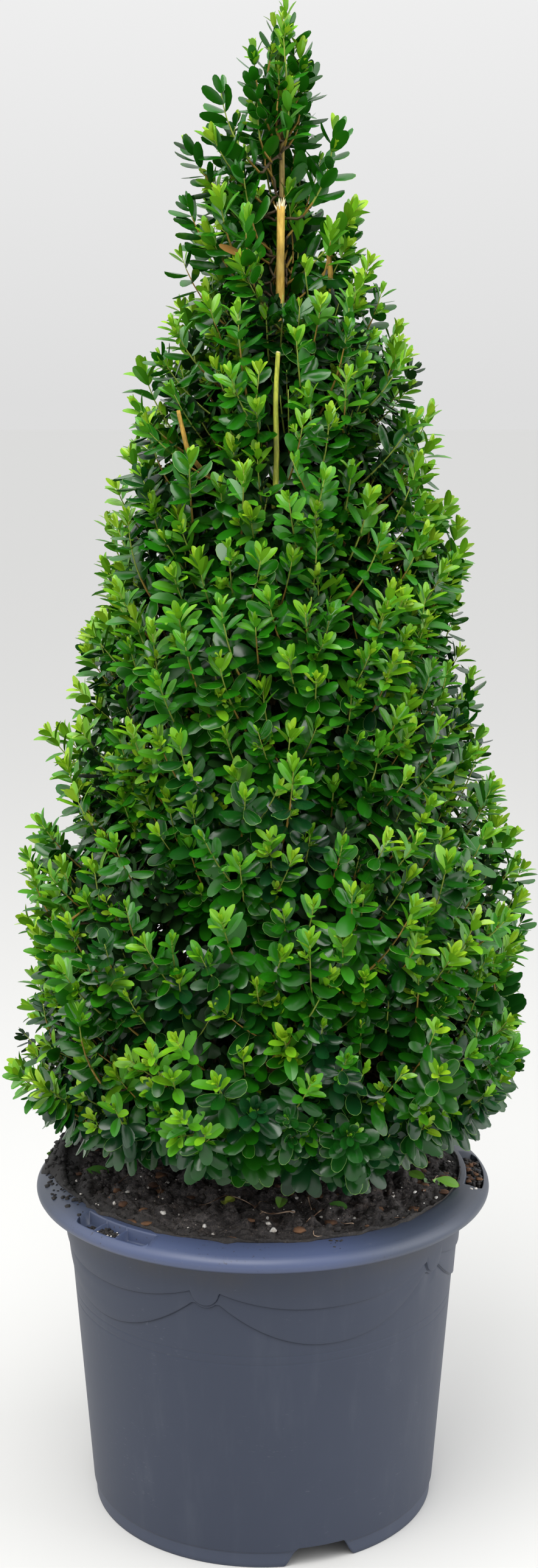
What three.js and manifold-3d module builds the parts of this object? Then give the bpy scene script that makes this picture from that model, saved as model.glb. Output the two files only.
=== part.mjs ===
import * as THREE from 'three';
import { mergeVertices } from 'three/addons/utils/BufferGeometryUtils.js';
import Module from 'manifold-3d';

// A box plant clipped to a tall cone, growing in a round nursery pot.
// Millimetres, Z up. The pot's axis is the Z axis, its foot stands on Z = 0 and the front is -Y.
// Azimuths are degrees from the front, turning towards +X.

const wasm = await Module();
wasm.setup();

const clearance = 0.3; // left between pieces that rest on each other

const pot = {
  height: 240,
  segments: 56,
  wall: 2.6,
  rimRadius: 160,
  rimInnerRadius: 139.8,
  rimWidest: 231, // height of the rim's widest line
  rimLip: 225, // height of the rim's lower edge
  lipRoll: 6, // radius that the rim turns under with
  bodyTopRadius: 139.2,
  bodyTop: 226,
  bodyFootRadius: 122.8,
  footHeight: 12,
  footRadius: 121,
  floorHeight: 15, // underside of the raised floor
  notchHeight: 13.7,
  notchTopWidth: 32,
  notchFootWidth: 51,
  notchAzimuths: [19, 139, 259],
  pocketAzimuths: [-41, 88, 203], // sockets in the rim for a carrying handle
  pocketSpan: 25, // degrees
  pocketInner: 144,
  pocketOuter: 156,
  pocketFloor: 230.5,
  pocketRibs: [0.31, 0.61], // places of the two ribs along a pocket
  ribWidth: 0.8, // degrees
};

const compost = {
  level: 240.5, // surface round the trunk
  edge: 238.6, // surface against the rim
  segments: 40,
  rings: [18, 55, 92, 118, 131], // radii of the surface's rings
  moundHeight: 13,
  moundAzimuth: 238,
  moundRadius: 112,
  moundSpread: 46,
};

const trunk = {
  top: 898, // the cut end of the main stem
  lean: [11.4, -13], // how far the cut end stands from the axis
  crook: 1.4,
  crookLength: 73,
  baseRadius: 9.5,
  topRadius: 2.6,
  flare: 5.5, // added at the root collar
  flareHeight: 16,
  sides: 12,
  steps: 16,
  stepSpacing: 1.4, // more than 1 crowds the steps towards the root collar
};

const crown = {
  tip: 1029,
  bellyHeight: 371,
  bellyRadius: 183,
  fullness: 0.65, // 1 would be a straight cone
  swells: [ // each a height, how far the outline stands out there, and over what height
    [455, 9, 38],
    [690, 6, 34],
    [882, -8, 26],
  ],
  skirtHeight: 264,
  tuckHeight: 330, // below this the skirt draws in
  tuckDepth: 30,
  drift: 3, // the lower crown stands this far to the right of the stem
  driftBack: 12, // and the crest leans back to the left by this much
  driftHeights: [780, 940],
  bump: 3.4,
  edgeRound: 0.045, // of the radius, drawn in at the edges of each mass
};

// The crown is five columns of foliage round the stem, each cut into five masses by planes that
// dip outwards. The columns' planes are staggered, so the masses lap like scales.
const columns = {
  count: 5,
  stagger: [10, -22, 26, -8, -30], // how much higher each column's planes lie
  crestStagger: [-3, 2, -2, 0, 3],
};

// From the soil up. An open front, in degrees, leaves bare stems in view.
const levels = [
  { name: 'foliage_skirt', top: 418, dip: 0.1, innerRadius: 72, openFront: 0, grid: [5, 5, 2] },
  { name: 'foliage_belly', top: 590, dip: 0.12, innerRadius: 60, openFront: 0, grid: [5, 5, 2] },
  { name: 'foliage_waist', top: 740, dip: 0.12, innerRadius: 1.8, openFront: 0, grid: [4, 4, 1] },
  { name: 'foliage_shoulder', top: 858, dip: 0.1, innerRadius: 1.8, openFront: 14, grid: [4, 4, 1] },
  { name: 'foliage_crest', top: 922, dip: -0.5, innerRadius: 1.8, openFront: 36, grid: [4, 3, 1] },
];
const skirtDip = 0.02;

const boughs = {
  sides: 6,
  steps: 3,
  trunkRadius: 4.2, // at the trunk
  tipRadius: 2.4, // where the bough enters its mass
  rise: 52, // from fork to mass
  bow: 7, // how far the middle hangs below a straight line
  slack: 0.15, // for the trunk leaning away from the vertical
  entry: [0.42, 0.36], // height of the entry within the mass, for the two levels with boughs
};

const leader = {
  radius: 42,
  fullness: 0.8,
  base: [4, -3],
  lean: [14.5, -5],
  segments: 12,
  rings: 7,
  stemFrom: 868,
  stemTo: 1000,
  stemRadius: 1.7,
};

const prunedStem = {
  foot: [7.4, -74],
  head: [10.1, -62],
  bottom: 704,
  top: 804,
  radius: 1.7,
};

const materials = {
  pot: { color: 0x494f5f, roughness: 0.55, metalness: 0 },
  compost: { color: 0x2b2624, roughness: 1, metalness: 0 },
  bark: { color: 0x7a6844, roughness: 0.9, metalness: 0 },
  greenStem: { color: 0x8a9440, roughness: 0.7, metalness: 0 },
  foliage: { color: 0x3a6b22, roughness: 0.6, metalness: 0 },
};

const group = new THREE.Group();

function add(name, geometry, finish) {
  const mesh = new THREE.Mesh(geometry, new THREE.MeshStandardMaterial(finish));
  mesh.name = name;
  group.add(mesh);
}

// Small helpers for directions and shapes.

function radians(degrees) {
  return THREE.MathUtils.degToRad(degrees);
}

function outward(azimuth) {
  return [Math.sin(radians(azimuth)), -Math.cos(radians(azimuth))];
}

function mix(from, to, share) {
  return from + (to - from) * share;
}

function moveVertices(geometry, place) {
  const position = geometry.attributes.position;
  const vertex = new THREE.Vector3();
  for (let i = 0; i < position.count; i += 1) {
    vertex.fromBufferAttribute(position, i);
    const [x, y, z] = place(vertex.x, vertex.y, vertex.z);
    position.setXYZ(i, x, y, z);
  }
  return geometry;
}

function weld(geometry) {
  geometry.deleteAttribute('normal');
  geometry.deleteAttribute('uv');
  const merged = mergeVertices(geometry, 1e-3);
  const corners = merged.index.array;
  const kept = [];
  for (let i = 0; i < corners.length; i += 3) {
    const [a, b, c] = [corners[i], corners[i + 1], corners[i + 2]];
    if (a !== b && b !== c && c !== a) kept.push(a, b, c);
  }
  merged.setIndex(kept);
  return merged;
}

function toSolid(geometry) {
  const merged = weld(geometry);
  return new wasm.Manifold(new wasm.Mesh({
    numProp: 3,
    vertProperties: new Float32Array(merged.attributes.position.array),
    triVerts: new Uint32Array(merged.index.array),
  }));
}

function toGeometry(solid) {
  const { vertProperties, triVerts } = solid.getMesh();
  const geometry = new THREE.BufferGeometry();
  geometry.setAttribute('position', new THREE.BufferAttribute(vertProperties, 3));
  geometry.setIndex(new THREE.BufferAttribute(triVerts, 1));
  geometry.computeVertexNormals();
  return geometry;
}

function lathe(profile, segments) {
  const points = profile.map(([radius, height]) => new THREE.Vector2(radius, height));
  return new THREE.LatheGeometry(points, segments).rotateX(Math.PI / 2);
}

// The pot: a tapered wall on a stepped foot, with a raised floor and a rolled rim.

function ellipseArc(centreRadius, centreHeight, across, up, fromAngle, toAngle, count) {
  const points = [];
  for (let i = 0; i <= count; i += 1) {
    const angle = radians(mix(fromAngle, toAngle, i / count));
    points.push([centreRadius + across * Math.sin(angle), centreHeight + up * Math.cos(angle)]);
  }
  return points;
}

function potProfile() {
  const innerFoot = pot.bodyFootRadius - pot.wall;
  const innerTop = pot.bodyTopRadius - pot.wall;
  const shoulder = pot.rimRadius - pot.rimInnerRadius;
  return [
    [0, pot.floorHeight],
    [pot.footRadius - pot.wall, pot.floorHeight],
    [pot.footRadius - pot.wall, 0],
    [pot.footRadius, 0],
    [pot.footRadius + 0.6, pot.footHeight - 1.5],
    [pot.bodyFootRadius, pot.footHeight],
    [pot.bodyTopRadius, pot.bodyTop],
    [pot.bodyTopRadius + 3, pot.bodyTop + 1.5],
    [pot.rimRadius - 7, pot.rimLip + 1],
    ...ellipseArc(pot.rimRadius - pot.lipRoll, pot.rimWidest, pot.lipRoll, pot.lipRoll, 170, 100, 3),
    ...ellipseArc(pot.rimInnerRadius, pot.rimWidest, shoulder, pot.height - pot.rimWidest, 90, 0, 5),
    [innerTop, pot.bodyTop],
    [innerFoot, pot.floorHeight + pot.wall],
    [0, pot.floorHeight + pot.wall],
  ];
}

function footNotch(azimuth) {
  const half = [pot.notchFootWidth / 2, pot.notchTopWidth / 2];
  const outline = new THREE.Shape();
  outline.moveTo(-half[0] - 2, -2);
  outline.lineTo(-half[0], 0);
  outline.lineTo(-half[1], pot.notchHeight);
  outline.lineTo(half[1], pot.notchHeight);
  outline.lineTo(half[0], 0);
  outline.lineTo(half[0] + 2, -2);
  outline.closePath();
  const cut = new THREE.ExtrudeGeometry(outline, { depth: 30, bevelEnabled: false, steps: 1 });
  cut.rotateX(Math.PI / 2);
  cut.translate(0, -pot.footRadius + 20, 0);
  return cut.rotateZ(radians(azimuth));
}

function ringSector(inner, outer, fromAzimuth, toAzimuth, low, high) {
  const start = radians(fromAzimuth - 90);
  const end = radians(toAzimuth - 90);
  const outline = new THREE.Shape();
  outline.absarc(0, 0, outer, start, end, false);
  outline.absarc(0, 0, inner, end, start, true);
  outline.closePath();
  const options = { depth: high - low, bevelEnabled: false, steps: 1, curveSegments: 4 };
  return new THREE.ExtrudeGeometry(outline, options).translate(0, 0, low);
}

// A pocket is three cells with two thin ribs left standing between them.
function rimPocket(azimuth) {
  const edges = [0, ...pot.pocketRibs, 1].map((share) => azimuth + pot.pocketSpan * (share - 0.5));
  const cells = [];
  for (let i = 0; i + 1 < edges.length; i += 1) {
    const from = edges[i] + (i > 0 ? pot.ribWidth / 2 : 0);
    const to = edges[i + 1] - (i + 2 < edges.length ? pot.ribWidth / 2 : 0);
    cells.push(ringSector(pot.pocketInner, pot.pocketOuter, from, to, pot.pocketFloor, pot.height + 5));
  }
  return cells;
}

function buildPot() {
  let body = toSolid(lathe(potProfile(), pot.segments));
  for (const azimuth of pot.notchAzimuths) {
    body = body.subtract(toSolid(footNotch(azimuth)));
  }
  for (const azimuth of pot.pocketAzimuths) {
    for (const cell of rimPocket(azimuth)) {
      body = body.subtract(toSolid(cell));
    }
  }
  add('pot', toGeometry(body), materials.pot);
}

// The compost: fills the pot to its brim, level round the trunk and heaped at the back left.

function compostHeight(x, y) {
  const radius = Math.hypot(x, y);
  const [outX, outY] = outward(compost.moundAzimuth);
  const away = Math.hypot(x - outX * compost.moundRadius, y - outY * compost.moundRadius);
  const mound = compost.moundHeight * Math.exp(-((away / compost.moundSpread) ** 2));
  const settle = (compost.level - compost.edge) * (radius / compost.rings.at(-1)) ** 2;
  const lumps = 1.5 * Math.sin(x / 17 + 1) * Math.sin(y / 14) * THREE.MathUtils.smoothstep(radius, 20, 60);
  return compost.level + mound - settle + lumps;
}

function buildCompost() {
  const innerFoot = pot.bodyFootRadius - pot.wall - clearance;
  const innerTop = pot.bodyTopRadius - pot.wall - clearance;
  const brim = pot.rimInnerRadius - clearance - 0.6;
  const surface = [...compost.rings].reverse().map((radius) => [radius, compost.level]);
  const profile = [
    [0, pot.floorHeight + pot.wall + clearance],
    [innerFoot, pot.floorHeight + pot.wall + clearance],
    [innerTop, pot.bodyTop],
    [brim, pot.height - 1.6],
    ...surface,
    [0, compost.level],
  ];
  const fill = lathe(profile, compost.segments);
  moveVertices(fill, (x, y, z) => [x, y, z === Math.fround(compost.level) ? compostHeight(x, y) : z]);
  add('compost', weld(fill), materials.compost);
}

// The trunk and the other limbs.

function trunkFoot() {
  return compostHeight(0, 0) + clearance;
}

// The line that the trunk and the crown follow. It leans a little to the right and forwards.
function stemLine(height) {
  const share = (height - compost.level) / (trunk.top - compost.level);
  return [trunk.lean[0] * share, trunk.lean[1] * share];
}

function trunkRadius(height) {
  const share = (height - compost.level) / (trunk.top - compost.level);
  const taper = mix(trunk.baseRadius, trunk.topRadius, Math.sqrt(Math.max(share, 0)));
  return taper + trunk.flare * Math.exp(-(height - compost.level) / trunk.flareHeight);
}

// The trunk itself winds slightly round that line.
function trunkCentre(height) {
  const [lineX, lineY] = stemLine(height);
  const crook = trunk.crook * Math.sin((height - compost.level) / trunk.crookLength);
  return [lineX + crook, lineY + crook * 0.6];
}

function trunkGeometry(grow) {
  const stem = new THREE.CylinderGeometry(1, 1, 1, trunk.sides, trunk.steps).rotateX(Math.PI / 2);
  const foot = trunkFoot() - grow;
  return moveVertices(stem, (x, y, z) => {
    const height = mix(foot, trunk.top + grow, (z + 0.5) ** trunk.stepSpacing);
    const [centreX, centreY] = trunkCentre(height);
    const radius = trunkRadius(height) + grow;
    return [centreX + x * radius, centreY + y * radius, height];
  });
}

// A bare upright stem between two points, a little slimmer at its head.
function uprightStem(foot, footHeight, head, headHeight, radius, grow) {
  const stem = new THREE.CylinderGeometry(1, 1, 1, 8, 6).rotateX(Math.PI / 2);
  return moveVertices(stem, (x, y, z) => {
    const share = z + 0.5;
    const size = radius * mix(1.15, 0.85, share) + grow;
    const sway = 0.8 * Math.sin(share * Math.PI * 2);
    const height = mix(footHeight - grow, headHeight + grow, share);
    return [mix(foot[0], head[0], share) + sway + x * size, mix(foot[1], head[1], share) + y * size, height];
  });
}

// A bough leaves the trunk, sags a little, and rises to the inner face of its mass.
function boughGeometry(azimuth, reach, entryHeight) {
  const forkHeight = entryHeight - boughs.rise;
  const [forkX, forkY] = trunkCentre(forkHeight);
  const [entryX, entryY] = stemLine(entryHeight);
  const [outX, outY] = outward(azimuth);
  const start = trunkRadius(forkHeight - 2 * boughs.trunkRadius) + clearance + boughs.slack;
  const steepness = Math.hypot(boughs.rise, reach - start) / (reach - start);
  const limb = new THREE.CylinderGeometry(1, 1, 1, boughs.sides, boughs.steps).rotateX(Math.PI / 2);
  return moveVertices(limb, (x, y, z) => {
    const share = z + 0.5;
    const along = mix(start, reach, share);
    const radius = mix(boughs.trunkRadius, boughs.tipRadius, share);
    const side = x * radius;
    const bow = boughs.bow * Math.sin(share * Math.PI);
    return [
      mix(forkX, entryX, share) + outX * along - outY * side,
      mix(forkY, entryY, share) + outY * along + outX * side,
      mix(forkHeight, entryHeight, share) - bow + y * radius * steepness,
    ];
  });
}

// The crown's outline: a full cone above a belly, drawn in at the foot of the skirt.
function crownRadius(azimuth, height) {
  const share = Math.min(1, Math.max(0, (crown.tip - height) / (crown.tip - crown.bellyHeight)));
  let radius = crown.bellyRadius * share ** crown.fullness;
  for (const [centre, size, spread] of crown.swells) {
    radius += size * Math.exp(-(((height - centre) / spread) ** 2));
  }
  const tuck = Math.max(0, (crown.tuckHeight - height) / (crown.tuckHeight - crown.skirtHeight));
  const [driftFrom, driftTo] = crown.driftHeights;
  const drift = crown.drift - crown.driftBack * THREE.MathUtils.smoothstep(height, driftFrom, driftTo);
  const turn = radians(azimuth);
  const bumps = Math.sin(5 * turn + height / 37) + 0.7 * Math.sin(8 * turn - height / 23);
  return radius - crown.tuckDepth * tuck ** 2 + drift * Math.sin(turn) + crown.bump * bumps;
}

function columnSpan(column, openFront) {
  const width = 360 / columns.count;
  const from = column * width + (column === 0 ? openFront / 2 : 0);
  const to = (column + 1) * width - (column === columns.count - 1 ? openFront / 2 : 0);
  return [from, to];
}

// The height of the plane above a level in one column, at a place. Level -1 is the crown's underside.
function planeHeight(level, column, x, y) {
  const [outX, outY] = outward((column + 0.5) * (360 / columns.count));
  const away = x * outX + y * outY;
  if (level < 0) return crown.skirtHeight - skirtDip * away;
  const stagger = level === levels.length - 1 ? columns.crestStagger[column] : columns.stagger[column];
  return levels[level].top + stagger - levels[level].dip * away;
}

// One mass of foliage: a block bent round the stem, with an uneven, rounded outer face.
function massGeometry(level, column) {
  const { innerRadius, openFront, grid } = levels[level];
  const [from, to] = columnSpan(column, openFront);
  const low = planeHeight(level - 1, column, 0, 0);
  const high = planeHeight(level, column, 0, 0);

  // A height between the two planes, at a place.
  function heightAt(x, y, share) {
    const bottom = planeHeight(level - 1, column, x, y) + clearance / 2;
    const top = planeHeight(level, column, x, y) - clearance / 2;
    return mix(bottom, top, share);
  }

  return moveVertices(new THREE.BoxGeometry(1, 1, 1, ...grid), (boxX, boxY, boxZ) => {
    const azimuth = mix(from, to, boxX + 0.5);
    const axisHeight = mix(low, high, boxY + 0.5);
    const [outX, outY] = outward(azimuth);
    const reach = crownRadius(azimuth, axisHeight);
    const outline = crownRadius(azimuth, heightAt(outX * reach, outY * reach, boxY + 0.5));
    const edge = (2 * boxX) ** 6 + (2 * boxY) ** 4;
    const radius = mix(innerRadius, outline * (1 - crown.edgeRound * edge), boxZ + 0.5);
    const [lineX, lineY] = stemLine(axisHeight);
    const inset = -Math.sign(boxX) * (Math.abs(boxX) > 0.499 ? clearance / 2 : 0);
    const x = lineX + outX * radius - outY * inset;
    const y = lineY + outY * radius + outX * inset;
    return [x, y, heightAt(x, y, boxY + 0.5)];
  });
}

// The leading tuft: a leaning, pointed mass that nests in the bowl of the crest.
function leaderGeometry() {
  const crest = levels.at(-1);
  const foot = crest.top + Math.max(...columns.crestStagger) + clearance;
  const brim = -crest.dip * leader.radius * 1.12;
  const rise = crown.tip - foot - brim;
  const profile = [[0, 0]];
  for (let i = 0; i <= leader.rings; i += 1) {
    const share = i / leader.rings;
    profile.push([leader.radius * (1 - share) ** leader.fullness, brim + share * rise]);
  }
  const tuft = lathe(profile, leader.segments);
  return moveVertices(tuft, (x, y, z) => {
    const share = Math.max(0, z - brim) / rise;
    const swell = 1 + 0.12 * Math.sin(Math.atan2(y, x) * 3 + z / 11);
    const lineX = mix(leader.base[0], leader.lean[0], share);
    const lineY = mix(leader.base[1], leader.lean[1], share);
    return [lineX + x * swell, lineY + y * swell, foot + z];
  });
}

function leaderStemGeometry(grow) {
  const [trunkX, trunkY] = stemLine(leader.stemFrom);
  const behind = trunkRadius(leader.stemFrom) + trunk.crook * 2 + leader.stemRadius + 1;
  const foot = [trunkX, trunkY + behind];
  return uprightStem(foot, leader.stemFrom, leader.lean, leader.stemTo, leader.stemRadius, grow);
}

function prunedStemGeometry(grow) {
  const { foot, head, bottom, top, radius } = prunedStem;
  return uprightStem(foot, bottom, head, top, radius, grow);
}

function buildLimbs() {
  add('trunk', weld(trunkGeometry(0)), materials.bark);
  add('leader_stem', weld(leaderStemGeometry(0)), materials.bark);
  add('pruned_stem', weld(prunedStemGeometry(0)), materials.greenStem);
}

function buildBoughs() {
  boughs.entry.forEach((entry, level) => {
    for (let column = 0; column < columns.count; column += 1) {
      const [from, to] = columnSpan(column, 0);
      const halfFacet = radians((to - from) / levels[level].grid[0] / 2);
      const reach = levels[level].innerRadius * Math.cos(halfFacet) - clearance - 0.1;
      const low = planeHeight(level - 1, column, 0, 0);
      const high = planeHeight(level, column, 0, 0);
      const bough = boughGeometry((from + to) / 2, reach, mix(low, high, entry));
      add(`bough_${level + 1}_${column + 1}`, weld(bough), materials.bark);
    }
  });
}

function buildFoliage() {
  const stems = toSolid(trunkGeometry(clearance))
    .add(toSolid(leaderStemGeometry(clearance)))
    .add(toSolid(prunedStemGeometry(clearance)));
  levels.forEach(({ name }, level) => {
    for (let column = 0; column < columns.count; column += 1) {
      const mass = toSolid(massGeometry(level, column)).subtract(stems);
      add(`${name}_${column + 1}`, toGeometry(mass), materials.foliage);
    }
  });
  add('foliage_leader', toGeometry(toSolid(leaderGeometry()).subtract(stems)), materials.foliage);
}

buildPot();
buildCompost();
buildLimbs();
buildBoughs();
buildFoliage();

export default group;
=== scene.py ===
import itertools
import math
import bpy
import numpy as np
from mathutils.bvhtree import BVHTree
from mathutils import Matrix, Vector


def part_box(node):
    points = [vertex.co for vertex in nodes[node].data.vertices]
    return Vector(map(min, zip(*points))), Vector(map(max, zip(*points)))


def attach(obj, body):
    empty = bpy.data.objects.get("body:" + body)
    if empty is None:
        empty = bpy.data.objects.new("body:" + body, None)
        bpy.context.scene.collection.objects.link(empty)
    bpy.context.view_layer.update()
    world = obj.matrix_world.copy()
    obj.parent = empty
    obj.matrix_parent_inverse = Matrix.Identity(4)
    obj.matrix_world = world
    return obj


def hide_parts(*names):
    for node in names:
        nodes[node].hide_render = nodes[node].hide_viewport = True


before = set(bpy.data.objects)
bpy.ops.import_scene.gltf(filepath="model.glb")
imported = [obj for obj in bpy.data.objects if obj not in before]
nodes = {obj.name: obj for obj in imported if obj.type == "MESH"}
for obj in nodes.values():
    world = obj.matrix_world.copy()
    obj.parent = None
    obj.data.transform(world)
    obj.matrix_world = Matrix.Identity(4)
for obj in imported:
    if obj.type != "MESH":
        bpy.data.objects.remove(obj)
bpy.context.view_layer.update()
mm = 0.001  # lengths are in millimetres until a mesh is made
print("frame loaded:", len(nodes), "nodes")


# numbers and directions

def lerp(start, end, share):
    return start + (end - start) * share


def ease(value, low, high):
    share = np.clip((value - low) / (high - low), 0, 1)
    return share * share * (3 - 2 * share)


def unit(vectors):
    return vectors / np.maximum(np.linalg.norm(vectors, axis=-1, keepdims=True), 1e-9)


def outwardAt(azimuth):  # degrees from the front, turning towards +X
    turn = np.radians(np.asarray(azimuth, float))
    return np.stack([np.sin(turn), -np.cos(turn), np.zeros_like(turn)], -1)


def turnFrom(azimuth, centre):  # degrees from a centre, the short way round
    return (azimuth - centre + 180) % 360 - 180


def unitSum(weights):
    return np.maximum(weights, 0) / np.maximum(weights, 0).sum()


def grain(points, size, seed):  # smooth noise from -1 to 1, with bumps about this size
    cell = np.asarray(points, float) / size
    base = np.floor(cell)
    part = cell - base
    part = part * part * (3 - 2 * part)
    total = np.zeros(len(cell))
    for corner in np.ndindex(2, 2, 2):
        value = np.sin((base + corner) @ [12.9898, 78.233, 37.719] + seed) * 43758.5453
        weight = np.prod(np.where(corner, part, 1 - part), axis=-1)
        total += (2 * (value - np.floor(value)) - 1) * weight
    return total


def bend(start, startPull, endPull, end, count):  # points along one smooth curve
    share = np.linspace(0, 1, count)[:, None]
    rest = 1 - share
    return (rest ** 3 * start + 3 * rest ** 2 * share * startPull
            + 3 * rest * share ** 2 * endPull + share ** 3 * end)


# finishes

def paint(red, green, blue):  # screen values from 0 to 255, as linear light
    values = np.array([red, green, blue]) / 255
    linear = np.where(values > 0.04045, ((values + 0.055) / 1.055) ** 2.4, values / 12.92)
    return (*[float(v) for v in linear], 1.0)


class Link:  # a shader socket that can stand in a sum or a product
    def __init__(self, tree, socket=None):
        self.tree, self.socket = tree, socket

    def node(self, kind, settings, values, output=0):
        made = self.tree.nodes.new("ShaderNode" + kind)
        for name, value in settings.items():
            setattr(made, name, value)
        for name, value in values.items():
            if isinstance(value, Link):
                self.tree.links.new(value.socket, made.inputs[name])
            else:
                made.inputs[name].default_value = value
        return Link(self.tree, made.outputs[output])

    def math(self, operation, first, second):
        return self.node("Math", {"operation": operation}, {0: first, 1: second})

    def __add__(self, other):
        return self.math("ADD", self, other)

    def __sub__(self, other):
        return self.math("SUBTRACT", self, other)

    def __rsub__(self, other):
        return self.math("SUBTRACT", other, self)

    def __mul__(self, other):
        return self.math("MULTIPLY", self, other)

    __radd__ = __add__
    __rmul__ = __mul__

    def step(self, low, high):  # 0 below low, 1 above high
        return self.node("MapRange", {"interpolation_type": "SMOOTHSTEP"},
                         {"Value": self, "From Min": low, "From Max": high})

    def blend(self, first, second):  # this socket mixes two colours
        return self.node("Mix", {"data_type": "RGBA"}, {0: self, 6: first, 7: second}, 2)

    def scaled(self, x, y, z):
        return self.node("VectorMath", {"operation": "MULTIPLY"}, {0: self, 1: (x, y, z)})

    def noise(self, size, detail, roughness=0.55):  # bumps this many millimetres apart
        return self.node("TexNoise", {}, {"Vector": self, "Scale": 1 / (size * mm), "Detail": detail,
                                          "Roughness": roughness})

    def part(self, axis):
        return self.node("SeparateXYZ", {}, {0: self}, "XYZ".index(axis))


def newFinish(name):  # a material, its shader, and the place on the object, in metres, as a Link
    material = bpy.data.materials.new(name)
    material.use_nodes = True
    shader = material.node_tree.nodes["Principled BSDF"]
    place = Link(material.node_tree).node("TexCoord", {}, {}, 3)
    return material, shader, place


def feed(shader, **links):
    for name, link in links.items():
        target = shader.inputs[{"colour": "Base Color", "roughness": "Roughness", "normal": "Normal"}[name]]
        link.tree.links.new(link.socket, target)


def bump(height, strength, depth):
    return height.node("Bump", {}, {"Height": height, "Strength": strength, "Distance": depth * mm})


def plainFinish(name, colour, roughness, shine=0.5):
    material = bpy.data.materials.new(name)
    material.use_nodes = True
    material.diffuse_color = colour
    shader = material.node_tree.nodes["Principled BSDF"]
    shader.inputs["Base Color"].default_value = colour
    shader.inputs["Roughness"].default_value = roughness
    shader.inputs["Specular IOR Level"].default_value = shine
    return material


# meshes

class Pile:  # the points and faces of many shapes, on their way into one mesh
    def __init__(self):
        self.points, self.faces, self.slots, self.count = [], [], [], 0

    def add(self, points, faces, slot=0):
        for rows in faces:
            self.faces.append(rows + self.count)
            self.slots.append(np.broadcast_to(np.ravel(slot), len(rows)))
        self.points.append(points)
        self.count += len(points)

    def addFaces(self, rows, slot, back):  # more faces on the last points, this many of them
        self.faces.append(rows + self.count - back)
        self.slots.append(slot)


def makePiece(name, pile, finishes, replaced=()):
    points = np.concatenate(pile.points) * mm
    corners = np.concatenate([rows.ravel() for rows in pile.faces])
    sizes = np.concatenate([np.full(len(rows), rows.shape[1]) for rows in pile.faces])
    mesh = bpy.data.meshes.new(name)
    mesh.vertices.add(len(points))
    mesh.vertices.foreach_set("co", points.astype(np.float32).ravel())
    mesh.loops.add(len(corners))
    mesh.loops.foreach_set("vertex_index", corners.astype(np.int32))
    mesh.polygons.add(len(sizes))
    mesh.polygons.foreach_set("loop_start", (np.cumsum(sizes) - sizes).astype(np.int32))
    mesh.polygons.foreach_set("material_index", np.concatenate(pile.slots).astype(np.int32))
    mesh.polygons.foreach_set("use_smooth", np.ones(len(sizes), bool))
    mesh.update(calc_edges=True)
    for finish in finishes:
        mesh.materials.append(finish)
    piece = bpy.data.objects.new(name, mesh)
    bpy.context.scene.collection.objects.link(piece)
    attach(piece, "root")
    if replaced:
        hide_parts(*replaced)
    print(f"{name}: {int((sizes - 2).sum())} triangles")


def closedFaces(rows, columns):  # quads between the rings of points, then fans to the two end points
    here = np.arange(columns)
    there = (here + 1) % columns
    row = np.arange(rows - 1)[:, None] * columns
    quads = np.stack([row + here, row + there, row + columns + there, row + columns + here], -1)
    last = rows * columns
    low = np.stack([there, here, np.full(columns, last)], -1)
    high = np.stack([last - columns + here, last - columns + there, np.full(columns, last + 1)], -1)
    return quads.reshape(-1, 4), np.concatenate([low, high])


def tube(path, radii, sides):  # a closed tapering tube
    path = np.asarray(path, float)
    radii = np.asarray(radii, float)
    if radii.ndim == 1:
        radii = radii[:, None]
    along = unit(np.gradient(path, axis=0))
    guide = np.eye(3)[np.argmin(np.abs(path[-1] - path[0]))]
    across = unit(np.cross(along, guide))
    third = np.cross(along, across)
    turn = np.arange(sides) * 2 * np.pi / sides
    ring = across[:, None] * np.cos(turn)[:, None] + third[:, None] * np.sin(turn)[:, None]
    points = (path[:, None] + ring * radii[:, :, None]).reshape(-1, 3)
    return np.concatenate([points, path[:1], path[-1:]]), closedFaces(len(path), sides)


def nodeSurface(node):  # corner points and triangles of a CAD node
    mesh = nodes[node].data
    mesh.calc_loop_triangles()
    points = np.zeros(len(mesh.vertices) * 3)
    mesh.vertices.foreach_get("co", points)
    corners = np.zeros(len(mesh.loop_triangles) * 3, np.int32)
    mesh.loop_triangles.foreach_get("vertices", corners)
    return points.reshape(-1, 3) / mm, corners.reshape(-1, 3)


def limbLine(node, rings):  # centre line and radii of a CAD limb, from its root to its end
    points = np.unique(np.round(nodeSurface(node)[0], 2), axis=0)
    middle = points.mean(0)
    axis = np.linalg.svd(points - middle, full_matrices=False)[2][0]
    axis *= np.sign(axis[2])
    place = (points - middle) @ axis
    order = np.argsort(place)
    cuts = np.sort(np.argsort(np.diff(place[order]))[-(rings - 1):]) + 1
    groups = np.split(points[order], cuts)
    centres = np.array([group.mean(0) for group in groups])
    radii = np.array([np.linalg.norm(group - group.mean(0), axis=1).max() for group in groups])
    return centres, radii


# the pot

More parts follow.
